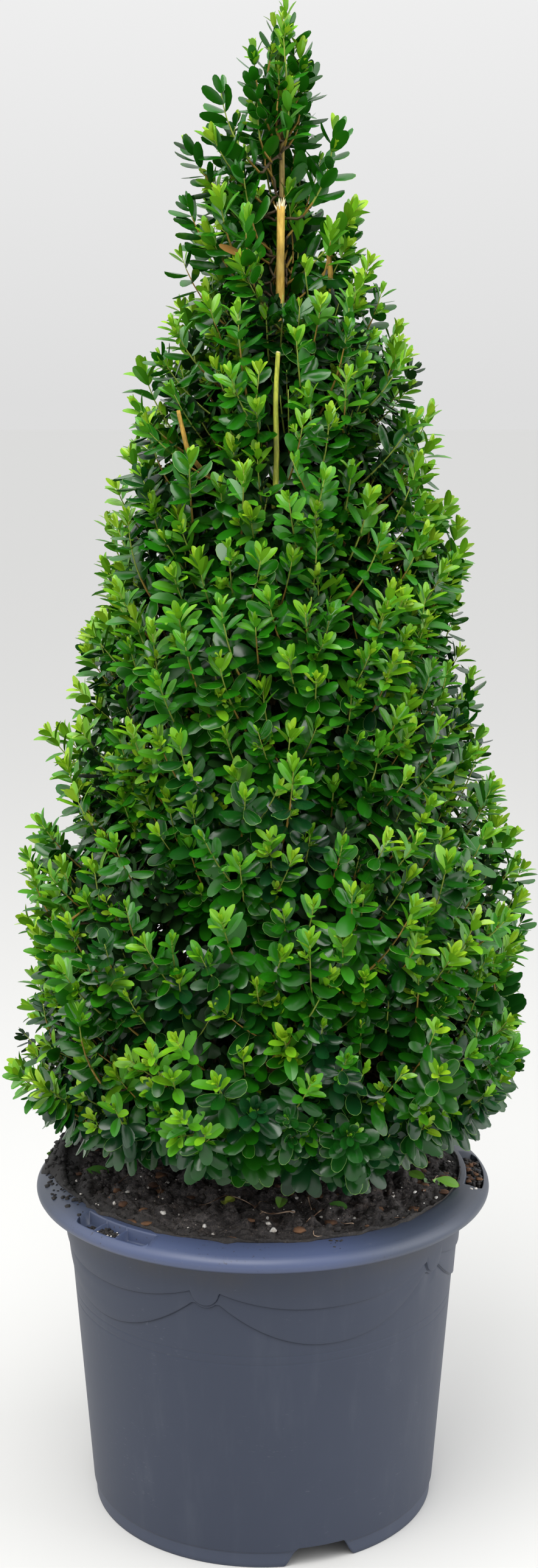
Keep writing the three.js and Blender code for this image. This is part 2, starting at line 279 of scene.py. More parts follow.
pot = {
    "bodyFoot": (122.8, 12.0),  # radius and height
    "bodyTop": (139.2, 226.0),
    "foot": (121.0, 121.6, 10.5),  # radius on the ground, radius and height at the step
    "wall": 2.6,
    "floor": 15.0,
    "hub": 40,  # radius of the smallest ring of points on the floor
    "rimInner": 139.8,
    "innerCurve": 141.6,  # a ring of points further out, on the rim's round top
    "rimWidest": 231.0,
    "lipRoll": 6.0,
    "underRim": ((3.4, 227.3), (5, 226.6)),  # out from the wall, in from the lip's roll, and the heights
    "notchAt": (19, 139, 259),
    "notchHalf": (25.5, 16.0),  # at the ground and at the top
    "notchHeight": 13.7,
    "socketAt": (-41, 88, 203),
    "socketSpan": 25,
    "socketRibs": (0.31, 0.61),
    "ribWidth": 0.8,
    "ribDepth": 0.25,  # how far a rib's top lies below the rim, as a share
    "socketRadii": (144.0, 156.0),
    "socketFloor": 230.5,
    "socketCorner": 5.0,
    "swags": 5,
    "knotAt": -15.7,
    "knotHalf": 3.9,
    "knotDrop": 9.7,
    "upperSwag": (192.0, 204.0, 2.4),  # lowest height, highest height, and how square it hangs
    "lowerSwag": (165.2, 195.0, 2.1),
    "layer": 1.35,  # thickness of each draped layer
    "layerGap": 2.2,  # least height between the two lower edges
    "drapeBetween": (161.5, 224.5),  # heights of the wall below the draped layers and above them
    "ringsAt": (152.0, 158.2),
    "ringDepth": 0.22,
}
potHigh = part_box("pot")[1]
rimTop, rimRadius = potHigh.z / mm, potHigh.x / mm


def potAzimuths():  # closer together at knots, notches and sockets
    turns = [np.arange(0, 360, 1.5)]
    for swag in range(pot["swags"]):
        turns.append(pot["knotAt"] + 360 / pot["swags"] * swag + np.arange(-4.8, 4.81, 0.32))
    for notch in pot["notchAt"]:
        for side in (-1, 1):
            turns.append(notch + side * np.arange(7, 12.8, 0.4))
    for edge in socketEdges():
        turns.append(np.array([edge - 0.03, edge + 0.03]))
    for socket in pot["socketAt"]:
        for side in (-1, 1):
            turns.append(socket + side * (pot["socketSpan"] / 2 - np.array([0.15, 0.4, 0.8, 1.3, 1.9])))
    turns = np.unique(np.round(np.concatenate(turns) % 360, 2))
    return turns[np.diff(turns, append=turns[0] + 360) > 0.04]


def socketEdges():  # azimuths where a socket or one of its ribs starts or ends
    edges = []
    for socket in pot["socketAt"]:
        start = socket - pot["socketSpan"] / 2
        edges += [start, start + pot["socketSpan"]]
        for rib in pot["socketRibs"]:
            for side in (-0.5, 0.5):
                edges.append(start + rib * pot["socketSpan"] + side * pot["ribWidth"])
    return edges


def socketDepth(azimuth):  # 1 in a socket, less on its ribs, 0 elsewhere
    depth = np.zeros(len(azimuth))
    for socket in pot["socketAt"]:
        away = turnFrom(azimuth, socket)
        depth[np.abs(away) < pot["socketSpan"] / 2] = 1
        for rib in pot["socketRibs"]:
            near = np.abs(away - (rib - 0.5) * pot["socketSpan"]) < pot["ribWidth"] / 2
            depth[near] = pot["ribDepth"]
    return depth


def socketRound(azimuth):  # how far the outer wall draws in at a socket's rounded ends
    drawn = np.zeros(len(azimuth))
    for socket in pot["socketAt"]:
        away = np.abs(turnFrom(azimuth, socket))
        toEnd = np.radians(pot["socketSpan"] / 2 - away) * pot["socketRadii"][1]
        share = np.clip(1 - toEnd / pot["socketCorner"], 0, 1)
        inside = (toEnd > 0) * pot["socketCorner"]
        drawn += inside * (1 - np.sqrt(1 - np.minimum(share, 0.98) ** 2))
    return drawn


def swagEdges(azimuth):  # heights of the lower edges of the lower and the upper layer
    pitch = 360 / pot["swags"]
    fromKnot = np.abs((azimuth - pot["knotAt"] + pitch / 2) % pitch - pitch / 2)
    along = np.clip((pitch / 2 - fromKnot) / (pitch / 2 - pot["knotHalf"]), 0, 1)
    edges = []
    for low, high, square in (pot["lowerSwag"], pot["upperSwag"]):
        edges.append(low + (high - low) * along ** square)
    lower, upper = edges
    onKnot = fromKnot < pot["knotHalf"]
    drop = pot["knotDrop"] * np.sqrt(1 - np.minimum(fromKnot / pot["knotHalf"], 1) ** 2)
    upper = np.where(onKnot, pot["upperSwag"][1] - drop, upper)
    return np.minimum(lower, upper - pot["layerGap"]), upper


def potBody(height):  # the plain wall's radius
    radii = [*pot["foot"][:2], pot["bodyFoot"][0], pot["bodyTop"][0]]
    return np.interp(height, [0, pot["foot"][2], pot["bodyFoot"][1], pot["bodyTop"][1]], radii)


def notchEdge(azimuth):  # height of the foot's lower edge
    edge = np.zeros(len(azimuth))
    wide, narrow = pot["notchHalf"]
    for notch in pot["notchAt"]:
        away = np.radians(np.abs(turnFrom(azimuth, notch))) * pot["foot"][0]
        share = np.clip((wide - away) / (wide - narrow), 0, 1)
        edge += pot["notchHeight"] * lerp(share, ease(share, 0, 1), 0.6)
    return edge


def rimHeight(radius):
    share = np.clip((radius - pot["rimInner"]) / (rimRadius - pot["rimInner"]), 0, 1)
    return pot["rimWidest"] + (rimTop - pot["rimWidest"]) * np.sqrt(1 - share ** 2)


# each of the next five gives the radius and height of one ring of points after another

def footRings(low):  # in the recess, then up the outside of the foot, over its notches
    inner = pot["foot"][0] - pot["wall"]
    clear = pot["floor"] + 0.6
    yield pot["hub"], pot["floor"]
    yield inner - 1.2, pot["floor"]
    yield inner, pot["floor"] - 0.4
    yield inner, low + 0.3
    yield inner + 0.4, low
    yield pot["foot"][0] - 0.4, low
    for height in (0.4, 3, 7, 9.8, 10.4, 10.9, 11.5, 12, 12.5, 14, clear):
        raised = low + height * (clear - low) / clear
        yield potBody(raised), raised


def wallRings(edges):  # up the wall, with its two fine grooves and the lower edges of the draped layers
    for height in (24, 45, 70, 95, 120, 142):
        yield potBody(height), height
    for height in pot["ringsAt"]:
        for step, depth in ((-1.6, 0), (-0.45, 0), (0, pot["ringDepth"]), (0.45, 0), (1.6, 0)):
            yield potBody(height + step) - depth, height + step
    below, end = pot["drapeBetween"]
    proud = 0
    for edge in edges:
        for share in (0.35, 0.7):
            height = lerp(below, edge - 1.3, share)
            yield potBody(height) + proud, height
        for step, out in ((-1.3, 0), (-0.75, -0.3), (-0.15, -0.5), (0, pot["layer"] - 0.35),
                          (0.2, pot["layer"] - 0.08), (0.5, pot["layer"])):
            yield potBody(edge + step) + proud + out, edge + step
        below = edge + 0.5
        proud += pot["layer"]
    for share in (0.3, 0.6, 1):
        height = lerp(below, end, share)
        yield potBody(height) + proud, height


def rimRings():  # under the rim, round its lip and onto the top
    (out, wallHeight), (back, lipHeight) = pot["underRim"]
    yield pot["bodyTop"][0] + out, wallHeight
    yield rimRadius - pot["lipRoll"] - back, lipHeight
    for turn in np.radians((200, 182, 165, 148, 130, 112, 98)):
        yield (rimRadius - pot["lipRoll"] + pot["lipRoll"] * math.sin(turn),
               pot["rimWidest"] + pot["lipRoll"] * math.cos(turn))
    for inset in (0, 0.2, 0.7, 1.5, 2.6):
        yield rimRadius - inset, rimHeight(rimRadius - inset)


def socketRings(azimuth):  # over the rim, and down into each socket and out again
    depth = socketDepth(azimuth)
    inner, outer = pot["socketRadii"]
    wall = outer - socketRound(azimuth)
    steps = ((1, 0), (0.35, 0), (0, 0.12), (-0.2, 0.9), (-0.7, 1))  # out past its edge, share of the depth
    places = [(wall + side, sink) for side, sink in steps]
    places += [((inner + outer) / 2 + side, 1) for side in (1.5, -1.5)]
    places += [(inner - side, sink) for side, sink in reversed(steps)]
    for radius, sink in places:
        surface = rimHeight(radius + 0 * azimuth)
        yield radius, surface - (surface - pot["socketFloor"]) * sink * depth


def insideRings():  # down the inner wall and onto the floor
    for radius in (pot["innerCurve"], pot["rimInner"]):
        yield radius, rimHeight(radius)
    yield pot["rimInner"] - 0.9, rimTop - 0.35
    yield pot["rimInner"] - 1.5, rimTop - 1.6
    yield pot["bodyTop"][0] - pot["wall"], pot["bodyTop"][1]
    yield pot["bodyFoot"][0] - pot["wall"], pot["floor"] + pot["wall"]
    yield pot["hub"], pot["floor"] + pot["wall"]


def potFinish():
    material, shader, place = newFinish("pot_plastic")
    height = place.part("Z")
    cloud = place.noise(90, 4)
    streaks = place.scaled(1, 1, 0.18).noise(14, 5, 0.6)
    specks = place.noise(2.2, 2, 0.4)
    plastic = cloud.blend(paint(36, 44, 62), paint(45, 53, 71))
    plastic = (streaks.step(0.5, 0.75) * 0.2).blend(plastic, paint(70, 76, 88))
    # painted light: the rim is painted lighter than the body, as if lit from above, and lighter and bluer at
    # the front and front left, a painted reflection of the sky
    onRim = height.step(0.2262, 0.2285)
    front = place.part("Y").step(-0.04, -0.14) * (1 - place.part("X").step(0.035, 0.1) * 0.8)
    plastic = (onRim * 0.9).blend(plastic, front.blend(paint(58, 65, 78), paint(72, 83, 115)))
    shoulder = height.step(0.198, 0.226) * (1 - height.step(0.2255, 0.2275))
    dust = shoulder * place.noise(30, 5, 0.65).step(0.3, 0.7) * 0.55
    plastic = dust.blend(plastic, paint(66, 63, 60))
    splash = height.step(0.21, 0.24) * specks.step(0.66, 0.74) * place.noise(40, 2).step(0.45, 0.6)
    plastic = (splash * 0.8).blend(plastic, paint(46, 40, 36))
    # painted sheen: a lighter, bluer band round the foot
    paintedFootSheen = (1 - height.step(0.0095, 0.0125)) * 0.3
    plastic = paintedFootSheen.blend(plastic, paint(76, 84, 104))
    scuffs = place.scaled(1, 1, 3).noise(6, 3, 0.7).step(0.62, 0.72) * place.noise(60, 2).step(0.5, 0.62)
    roughness = 0.47 + 0.1 * cloud + 0.12 * dust - 0.09 * onRim
    feed(shader, colour=(scuffs * 0.22).blend(plastic, paint(104, 108, 116)), roughness=roughness,
         normal=bump(place.noise(1.1, 2) * 0.5 + place.noise(7, 2) * 0.5, 0.12, 0.35))
    return material


def buildPot():
    azimuth = potAzimuths()
    outside = [*footRings(notchEdge(azimuth)), *wallRings(swagEdges(azimuth)), *rimRings()]
    rings = outside + [*socketRings(azimuth), *insideRings()]
    direction = outwardAt(azimuth)
    points = [direction * (radius + 0 * azimuth)[:, None] + np.outer(height + 0 * azimuth, [0, 0, 1])
              for radius, height in rings]
    centres = [[0, 0, pot["floor"]], [0, 0, pot["floor"] + pot["wall"]]]
    pile = Pile()
    pile.add(np.concatenate([*points, centres]), closedFaces(len(rings), len(azimuth)))
    makePiece("pot_moulded", pile, [potFinish()], ["pot"])


# the compost and what lies on it

compost = {
    "rings": 80,
    "spokes": 330,
    "brim": 139.0,
    "levelFrom": 136,  # the surface carries on at the height it has at this radius
    "looseTo": 133,  # radius within which the rings of points are uneven
    "clods": ((24, 2.6), (11, 2.6), (5.4, 1.7), (2.8, 0.9)),  # size and height of each
    "heap": (263, 137, 17, 19),  # azimuth, radius, height and spread of the soil pushed up on the rim
    "spill": (0.4, 3.4, 13.5, 266, 23),  # over the rim: least, uneven, most, and where that lies and how far
    "side": ((138.6, 239.4), (137.9, 237.6), (136.2, 226), (119.8, 18.1)),  # radii and heights down the wall
    "crumbs": 2300,
    "heapCrumbs": (420, 4, 17, 112, 154),  # number, turn from the heap, spread, and between which radii
    "clump": (46, -128),  # where a few more crumbs lie together
    "perlite": 110,
    "brightGrains": ((3.9, -119), (7, -124), (-100, -78), (-92, -63), (20, -97), (61, -99), (-38, -112),
                     (-66, -97), (88, -62), (104, -58)),
    "socketGrains": ((73.6, 150, 2.0), (74.8, 152.5, 1.6)),  # azimuth, radius and size
    "chips": 90,
    "fibres": 34,
    "socketFill": {  # which socket, how far round from its middle, between which heights, number and sizes
        "crumbs": ((1, (-10.5, 11.8), (231, 237), 260, (0.9, 2.2)),
                   (0, (-4.4, 2.4), (230.8, 234.5), 130, (0.8, 1.9)),
                   (0, (-11, -5), (230.8, 232), 43, (0.7, 1.4))),
        "chips": ((1, (-10, 11), (236, 238), 16, (1.4, 2.6)),),
        "perlite": ((0, (-4, 2), (234.4, 235), 5, (0.6, 1.0)),),
    },
    "fallen": (  # place, heading, length and slot of each fallen leaf
        ((127, -34), 40, 13, 0), ((120, -43), 80, 16, 1), ((112, -38), 215, 17, 1), ((117, -46), 120, 15, 1),
        ((112, -46), 160, 13, 2), ((44, -84), 80, 13, 2), ((11, -86), 170, 17, 1), ((-124, -22), 100, 17, 2),
        ((-27, -74), 10, 10, 0), ((-19, -70), 330, 12, 0), ((-150, 4), 200, 11, 1),
    ),
    "fallenPaint": ((150, 166, 60), (112, 166, 58), (66, 116, 42)),
    "seed": 11,
}


def soilFinish():
    material, shader, place = newFinish("compost_soil")
    patch = place.noise(22, 4, 0.6)
    fine = place.noise(2.4, 4, 0.7)
    soil = fine.step(0.35, 0.75).blend(paint(37, 34, 35), paint(92, 86, 84))
    soil = (patch.step(0.55, 0.75) * 0.5).blend(soil, paint(86, 68, 56))
    soil = (place.noise(1.3, 2).step(0.62, 0.7) * 0.6).blend(soil, paint(132, 118, 104))
    x, y = place.part("X"), place.part("Y")
    edge = (x * x + y * y).step(0.0135, 0.0185) * 0.72  # painted shade, darker by the rim and in the heap
    soil = (edge + (1 - x.step(-0.135, -0.095)) * 0.3).blend(soil, paint(22, 20, 20))
    feed(shader, colour=soil, roughness=0.6 + 0.3 * patch,
         normal=bump(fine * 0.6 + place.noise(1.2, 3) * 0.4, 0.7, 1.2))
    return material


def chipFinish():
    material, shader, place = newFinish("bark_chips")
    patch = place.noise(9, 2)
    lines = place.scaled(3, 1, 1).noise(3, 3, 0.6)
    feed(shader, colour=patch.step(0.35, 0.65).blend(paint(70, 46, 32), paint(118, 84, 58)),
         roughness=0.75 + 0.2 * patch, normal=bump(lines, 0.5, 0.5))
    return material


def perliteFinish():
    material, shader, place = newFinish("perlite")
    patch = place.noise(3, 3)
    feed(shader, colour=patch.step(0.3, 0.7).blend(paint(176, 168, 158), paint(232, 230, 226)),
         roughness=0.7 + 0.2 * patch, normal=bump(place.noise(0.9, 2), 0.5, 0.3))
    return material


def fibreFinish():
    material, shader, place = newFinish("root_fibres")
    patch = place.noise(12, 2)
    feed(shader, colour=patch.step(0.4, 0.6).blend(paint(96, 70, 52), paint(178, 154, 132)),
         roughness=0.7 + 0.2 * patch, normal=bump(place.noise(1, 2), 0.4, 0.2))
    return material


def soilCaster():
    points, corners = nodeSurface("compost")
    caster = BVHTree.FromPolygons(points.tolist(), corners.tolist())

    def heightAt(x, y):
        shrink = min(1, compost["levelFrom"] / max(math.hypot(x, y), 1))
        return caster.ray_cast((x * shrink, y * shrink, 400), (0, 0, -1))[0].z
    return heightAt


def clodRise(flat):  # rounded clods with creases between them
    radius = np.linalg.norm(flat[:, :2], axis=1)
    rise = sum(size * (2 * np.abs(grain(flat, width, 3 + width)) - 0.45) for width, size in compost["clods"])
    azimuth, out, high, spread = compost["heap"]
    away = np.linalg.norm(flat[:, :2] - outwardAt(azimuth)[:2] * out, axis=1)
    return rise * (1 - 0.6 * ease(radius, 128, 138)) + high * np.exp(-(away / spread) ** 2 / 1.4)


def boulder(level):  # points and triangles of a round lump, cut finer at each level
    golden = (1 + 5 ** 0.5) / 2
    points = np.array([(side * 1.0, other * golden, 0) for side in (-1, 1) for other in (-1, 1)])
    points = unit(np.concatenate([points, np.roll(points, 1, 1), np.roll(points, 2, 1)]))
    distance = np.linalg.norm(points[:, None] - points[None], axis=2)
    near = (distance < 1.06) & (distance > 0.1)
    faces = []
    for a, b, c in itertools.combinations(range(12), 3):
        if near[a, b] and near[b, c] and near[a, c]:
            out = np.dot(np.cross(points[b] - points[a], points[c] - points[a]), points[a]) > 0
            faces.append((a, b, c) if out else (a, c, b))
    for _ in range(level):
        middles, finer = {}, []
        points = list(points)
        for a, b, c in faces:
            cut = []
            for pair in ((a, b), (b, c), (c, a)):
                key = tuple(sorted(pair))
                if key not in middles:
                    middles[key] = len(points)
                    points.append(unit(points[key[0]] + points[key[1]]))
                cut.append(middles[key])
            finer += [(a, cut[0], cut[2]), (cut[0], b, cut[1]), (cut[2], cut[1], c), tuple(cut)]
        faces = finer
        points = np.array(points)
    return points, np.array(faces)


def scatter(rng, pile, places, sizes, shape, flat=0.75, rough=0.3):  # uneven lumps, each turned its own way
    points, faces = shape
    for place, size in zip(places, sizes):
        lump = points * (1 + rough * rng.uniform(-1, 1, (len(points), 1)))
        lump = lump * rng.uniform((0.75, 0.75, flat * 0.7), (1.25, 1.25, flat * 1.2))
        turn = rng.uniform(0, 2 * np.pi)
        cosine, sine = math.cos(turn), math.sin(turn)
        spin = np.array([[cosine, -sine, 0], [sine, cosine, 0], [0, 0, 1]])
        pile.add(lump @ spin.T * size + place, (faces,))


def buildCompost():  # the soil's pile, and a function that finds its surface
    heightAt = soilCaster()
    rings, spokes = compost["rings"], compost["spokes"]
    azimuth = np.arange(spokes) * 360 / spokes
    direction = outwardAt(azimuth)
    reach = compost["brim"] * (np.arange(1, rings + 1) / rings) ** 0.8
    flat = (reach[:, None, None] * direction[None]).reshape(-1, 3)
    loose = np.linalg.norm(flat, axis=1) < compost["looseTo"]
    flat[:, 0] += 0.8 * loose * grain(flat, 4, 21)
    flat[:, 1] += 0.8 * loose * grain(flat, 4, 22)
    rows = [flat + np.outer([heightAt(x, y) for x, y, _ in flat] + clodRise(flat), [0, 0, 1])]
    least, uneven, most, centre, half = compost["spill"]
    ragged = grain(direction * 40, 6, 31) + 0.6 * grain(direction * 40, 2.2, 32)
    away = np.abs(turnFrom(azimuth, centre))
    spill = least + uneven * np.maximum(ragged, 0) + most * np.exp(-(away / half) ** 2) * (1 + 0.15 * ragged)
    for share in (0.06, 0.3, 0.55, 0.8, 0.95, 1):  # down over the rim
        edge = compost["brim"] + spill * share
        spot = direction * edge[:, None]
        raised = (clodRise(spot) + 1.2) * (1 - share ** 3)
        level = rimHeight(edge) + np.maximum(raised, 0.5) - 0.9 * (share == 1)
        rows.append(spot + np.outer(level, [0, 0, 1]))
    sheetRows = rings + len(rows) - 1
    for radius, height in compost["side"]:
        rows.append(direction * radius + np.array([0, 0, height]))
    points = np.concatenate(rows)
    sheet, caps = (faces[:, ::-1] for faces in closedFaces(len(points) // spokes, spokes))
    centres = [[0, 0, heightAt(0, 0)], [0, 0, compost["side"][-1][1]]]
    soil = Pile()
    soil.add(np.concatenate([points, centres]), (sheet, caps))
    top = points[:sheetRows * spokes].tolist()
    surface = BVHTree.FromPolygons(top, sheet[:(sheetRows - 1) * spokes].tolist())

    def onSoil(x, y):
        hit = surface.ray_cast((x, y, 400), (0, 0, -1))[0]
        return np.array([x, y, hit.z if hit else rimHeight(math.hypot(x, y))])
    return soil, onSoil


def litterSpots(rng, count, onSoil, inner, outer):  # places on the soil between two radii
    radius = np.sqrt(rng.uniform(inner ** 2, outer ** 2, count))
    spots = outwardAt(rng.uniform(0, 360, count)) * radius[:, None]
    return np.array([onSoil(x, y) for x, y, _ in spots])


def fillSockets(rng, pile, kind, shape, flat=0.75):
    for socket, span, heights, count, sizes in compost["socketFill"][kind]:
        azimuth = rng.uniform(*(pot["socketAt"][socket] + np.array(span)), count)
        radius = rng.uniform(145.4, 154.4, count)
        spots = outwardAt(azimuth) * radius[:, None] + np.outer(rng.uniform(*heights, count), [0, 0, 1])
        scatter(rng, pile, spots, rng.uniform(*sizes, count), shape, flat)


def buildCrumbs(rng, soil, onSoil, pebble):
    count = compost["crumbs"]
    spots = litterSpots(rng, count, onSoil, 30, 139.5)
    sizes = 0.6 + 1.2 * rng.random(count) ** 2 + 1.8 * rng.random(count) ** 12
    scatter(rng, soil, spots, sizes, pebble, rough=0.4)
    count, turn, spread, near, far = compost["heapCrumbs"]
    azimuth = rng.normal(compost["heap"][0] + turn, spread, count)
    heap = outwardAt(azimuth) * rng.uniform(near, far, (count, 1))
    heap = np.array([onSoil(x, y) for x, y, _ in heap])
    scatter(rng, soil, heap, 0.8 + 2.0 * rng.random(count) ** 2, pebble, rough=0.4)
    fillSockets(rng, soil, "crumbs", pebble)
    clump = onSoil(*compost["clump"]) + rng.normal(0, (2.2, 3.0, 0.8), (26, 3)) + (0.8, -8, 0.2)
    scatter(rng, soil, clump, rng.uniform(0.5, 1.3, len(clump)), pebble)
    makePiece("compost_fill", soil, [soilFinish()], ["compost"])


def buildChips(rng, onSoil, lump):
    chips = Pile()
    spots = litterSpots(rng, compost["chips"], onSoil, 40, 138)
    scatter(rng, chips, spots, rng.uniform(1.5, 4.6, len(spots)), lump, flat=0.35, rough=0.2)
    fillSockets(rng, chips, "chips", lump, 0.5)
    makePiece("bark_chips", chips, [chipFinish()])


def buildPerlite(rng, onSoil, lump):
    perlite = Pile()
    spots = litterSpots(rng, compost["perlite"], onSoil, 50, 139)
    scatter(rng, perlite, spots + (0, 0, 0.4), 0.45 + 0.9 * rng.random(len(spots)) ** 2, lump)
    bright = np.array([onSoil(x, y) for x, y in compost["brightGrains"]])
    scatter(rng, perlite, bright + (0, 0, 0.9), rng.uniform(1.3, 2.1, len(bright)), lump)
    azimuth, radius, sizes = np.array(compost["socketGrains"]).T
    scatter(rng, perlite, outwardAt(azimuth) * radius[:, None] + (0, 0, 237.6), sizes, lump)
    fillSockets(rng, perlite, "perlite", lump)
    makePiece("perlite_grains", perlite, [perliteFinish()])


def buildFallenLeaves(rng, onSoil):
    fallen, pile = Foliage("new"), Pile()
    facing = np.array([0.1, -0.6, 0.85])
    for (x, y), heading, length, slot in compost["fallen"]:
        way, foot = outwardAt(heading), onSoil(x, y)
        along = unit(onSoil(*(foot + way * length)[:2]) + (0, 0, 1.5) - foot)
        face = unit(facing - along * (facing @ along))
        fallen.add(np.array([True]), foot[None] + (0, 0, 1.2), along[None], face[None], length, length * 0.5,
                   rng.uniform(0, 0.2), rng.uniform(0.1, 0.4), slot)
    fallen.intoPile(pile)
    finishes = [plainFinish(f"fallen_leaf_{k + 1}", paint(*colour), 0.4)
                for k, colour in enumerate(compost["fallenPaint"])]
    makePiece("fallen_leaves", pile, finishes)


def buildFibres(rng, onSoil):
    fibres = Pile()
    for start in litterSpots(rng, compost["fibres"], onSoil, 70, 138):
        run = outwardAt(rng.uniform(0, 360)) * rng.uniform(8, 26)
        end = start + run
        run = run + end * (1, 1, 0) * (min(1, 138 / np.hypot(*end[:2])) - 1)
        lift = rng.uniform(0.8, 3.5)
        path = bend(start + (0, 0, 0.4), start + run * 0.3 + (0, 0, lift),
                    start + run * 0.6 + rng.normal(0, 3, 3), start + run, 8)
        path[:, 2] = [max(point[2], onSoil(*point[:2])[2] + 0.25) for point in path]
        fibres.add(*tube(path, np.linspace(0.42, 0.2, 8) * rng.uniform(0.7, 1.5), 5))
    makePiece("root_fibres", fibres, [fibreFinish()])


def buildLitter(soil, onSoil):
    rng = np.random.default_rng(compost["seed"])
    lump = boulder(1)
    buildCrumbs(rng, soil, onSoil, boulder(0))
    buildChips(rng, onSoil, lump)
    buildPerlite(rng, onSoil, lump)
    buildFallenLeaves(rng, onSoil)
    buildFibres(rng, onSoil)


# stems with bark

limbs = {
    "trunk": 17,  # rings of points along each CAD limb
    "stem": 7,
    "bough": 4,
    "sides": 20,
    "ridge": 0.09,  # relief of the bark, as a share of the radius
    "splinters": 26,
    "side": {  # bare stems that show between the leaves: height where each leaves the trunk, course and radii
        "left_stub": (690, ((-48, -63, 744), (-53.5, -60, 768)), (1.5, 1.3)),
        "right_stem": (790, ((45, -24, 844), (41, -20, 888)), (1.6, 1.3)),
    },
}


def barkFinish(name, dark, light, ridges, ochreFrom=2.0):  # the bark turns ochre above this height in metres
    material, shader, place = newFinish(name)
    long = place.scaled(1, 1, 0.22)
    furrow = long.noise(ridges, 4, 0.65)
    patch = place.noise(24, 3)
    colour = furrow.step(0.3, 0.7).blend(paint(*dark), paint(*light))
    ochre = furrow.step(0.25, 0.75).blend(paint(184, 140, 44), paint(244, 206, 104))
    colour = place.part("Z").step(ochreFrom, ochreFrom + 0.12).blend(colour, ochre)
    colour = (patch.step(0.5, 0.75) * 0.4).blend(colour, paint(128, 122, 84))
    feed(shader, colour=colour, roughness=0.62 + 0.25 * furrow, normal=bump(furrow, 0.7, 0.8))
    return material


def smoothLine(centres, radii, count):
    share = np.linspace(0, len(centres) - 1, count)
    known = np.arange(len(centres))
    path = np.stack([np.interp(share, known, centres[:, axis]) for axis in range(3)], -1)
    for _ in range(3):
        path[1:-1] = (path[:-2] + 2 * path[1:-1] + path[2:]) / 4
    return path, np.interp(share, known, radii)


def barkTube(line, count, seed):
    path, radii = smoothLine(*line, count)
    sides = limbs["sides"]
    turn = np.arange(sides) * 2 * np.pi / sides
    wall = np.stack([np.repeat(path[:, 2] / 18, sides), np.tile(np.cos(turn) * 2.2, count),
                     np.tile(np.sin(turn) * 2.2, count)], -1)
    relief = (grain(wall, 0.9, seed) + 0.6 * grain(wall, 0.4, seed + 1)).reshape(count, sides)
    return tube(path, radii[:, None] * (1 + limbs["ridge"] * relief), sides)


def buildTrunk(line, bark):
    trunk = Pile()
    trunk.add(*barkTube(line, 150, 5))
    rng = np.random.default_rng(4)
    cut, cutRadius = line[0][-1], line[1][-1]
    for _ in range(limbs["splinters"]):  # torn fibres round the cut end
        out = outwardAt(rng.uniform(0, 360)) * cutRadius * rng.uniform(0.2, 0.95)
        foot = cut + out + (0, 0, -2.5)
        head = foot + out * rng.uniform(0.1, 1.3) + (0, 0, rng.uniform(3, 8.5))
        trunk.add(*tube(bend(foot, lerp(foot, head, 0.4), lerp(foot, head, 0.7), head, 4),
                        np.array([0.62, 0.6, 0.42, 0.08]) * rng.uniform(0.7, 1.4), 5), 1)
    torn = plainFinish("torn_wood", paint(242, 230, 194), 0.8)
    makePiece("trunk_bark", trunk, [bark, torn], ["trunk"])


def buildBoughs(lines, bark):
    boughs = Pile()
    names = sorted(name for name in nodes if name.startswith("bough"))
    for number, name in enumerate(names):
        lines[name] = limbLine(name, limbs["bough"])
        boughs.add(*barkTube(lines[name], 26, 40 + number))
    makePiece("boughs_bark", boughs, [bark], names)


def buildSideStems(lines):
    sides = Pile()
    for number, (name, (height, course, radii)) in enumerate(limbs["side"].items()):
        start = stemAt(lines["trunk"], height)
        foot, head = np.array(course, float)
        rising = foot - (head - foot) * 0.5 + (0, 16, 0)
        path = bend(start, start + (foot - start) * (0.4, 0.3, 0.3), rising, foot, 9)
        path = np.concatenate([path, [lerp(foot, head, 0.5), head]])
        lines[name] = (path, np.append(np.linspace(radii[0] * 1.3, radii[0], 10), radii[1]))
        sides.add(*barkTube(lines[name], 46, 70 + number))
    makePiece("side_stems_bark", sides, [barkFinish("brown_bark", (128, 100, 34), (198, 158, 62), 2)])


def buildTopStems(lines):
    leader, pruned = Pile(), Pile()
    lines["leader_stem"] = limbLine("leader_stem", limbs["stem"])
    leader.add(*barkTube(lines["leader_stem"], 50, 90))
    young = barkFinish("young_bark", (120, 96, 52), (170, 150, 82), 2)
    makePiece("leader_bark", leader, [young], ["leader_stem"])
    lines["pruned_stem"] = limbLine("pruned_stem", limbs["stem"])
    pruned.add(*barkTube(lines["pruned_stem"], 44, 95))
    head = lines["pruned_stem"][0][-1]
    face = np.array([head - (0, 0, 0.4), head + (0.2, 0, 0.5), head + (0.3, 0, 0.8)])  # the pale cut end
    pruned.add(*tube(face, [1.6, 1.35, 0.6], 10), 1)
    finishes = [barkFinish("green_bark", (140, 152, 44), (198, 202, 76), 2),
                plainFinish("cut_wood", paint(222, 208, 160), 0.8)]
    makePiece("pruned_stem_bark", pruned, finishes, ["pruned_stem"])


def buildLimbs():
    lines = {"trunk": limbLine("trunk", limbs["trunk"])}
    bark = barkFinish("stem_bark", (78, 64, 40), (166, 138, 74), 2.4, 0.7)
    buildTrunk(lines["trunk"], bark)
    buildBoughs(lines, bark)
    buildSideStems(lines)
    buildTopStems(lines)
    return lines


# the crown

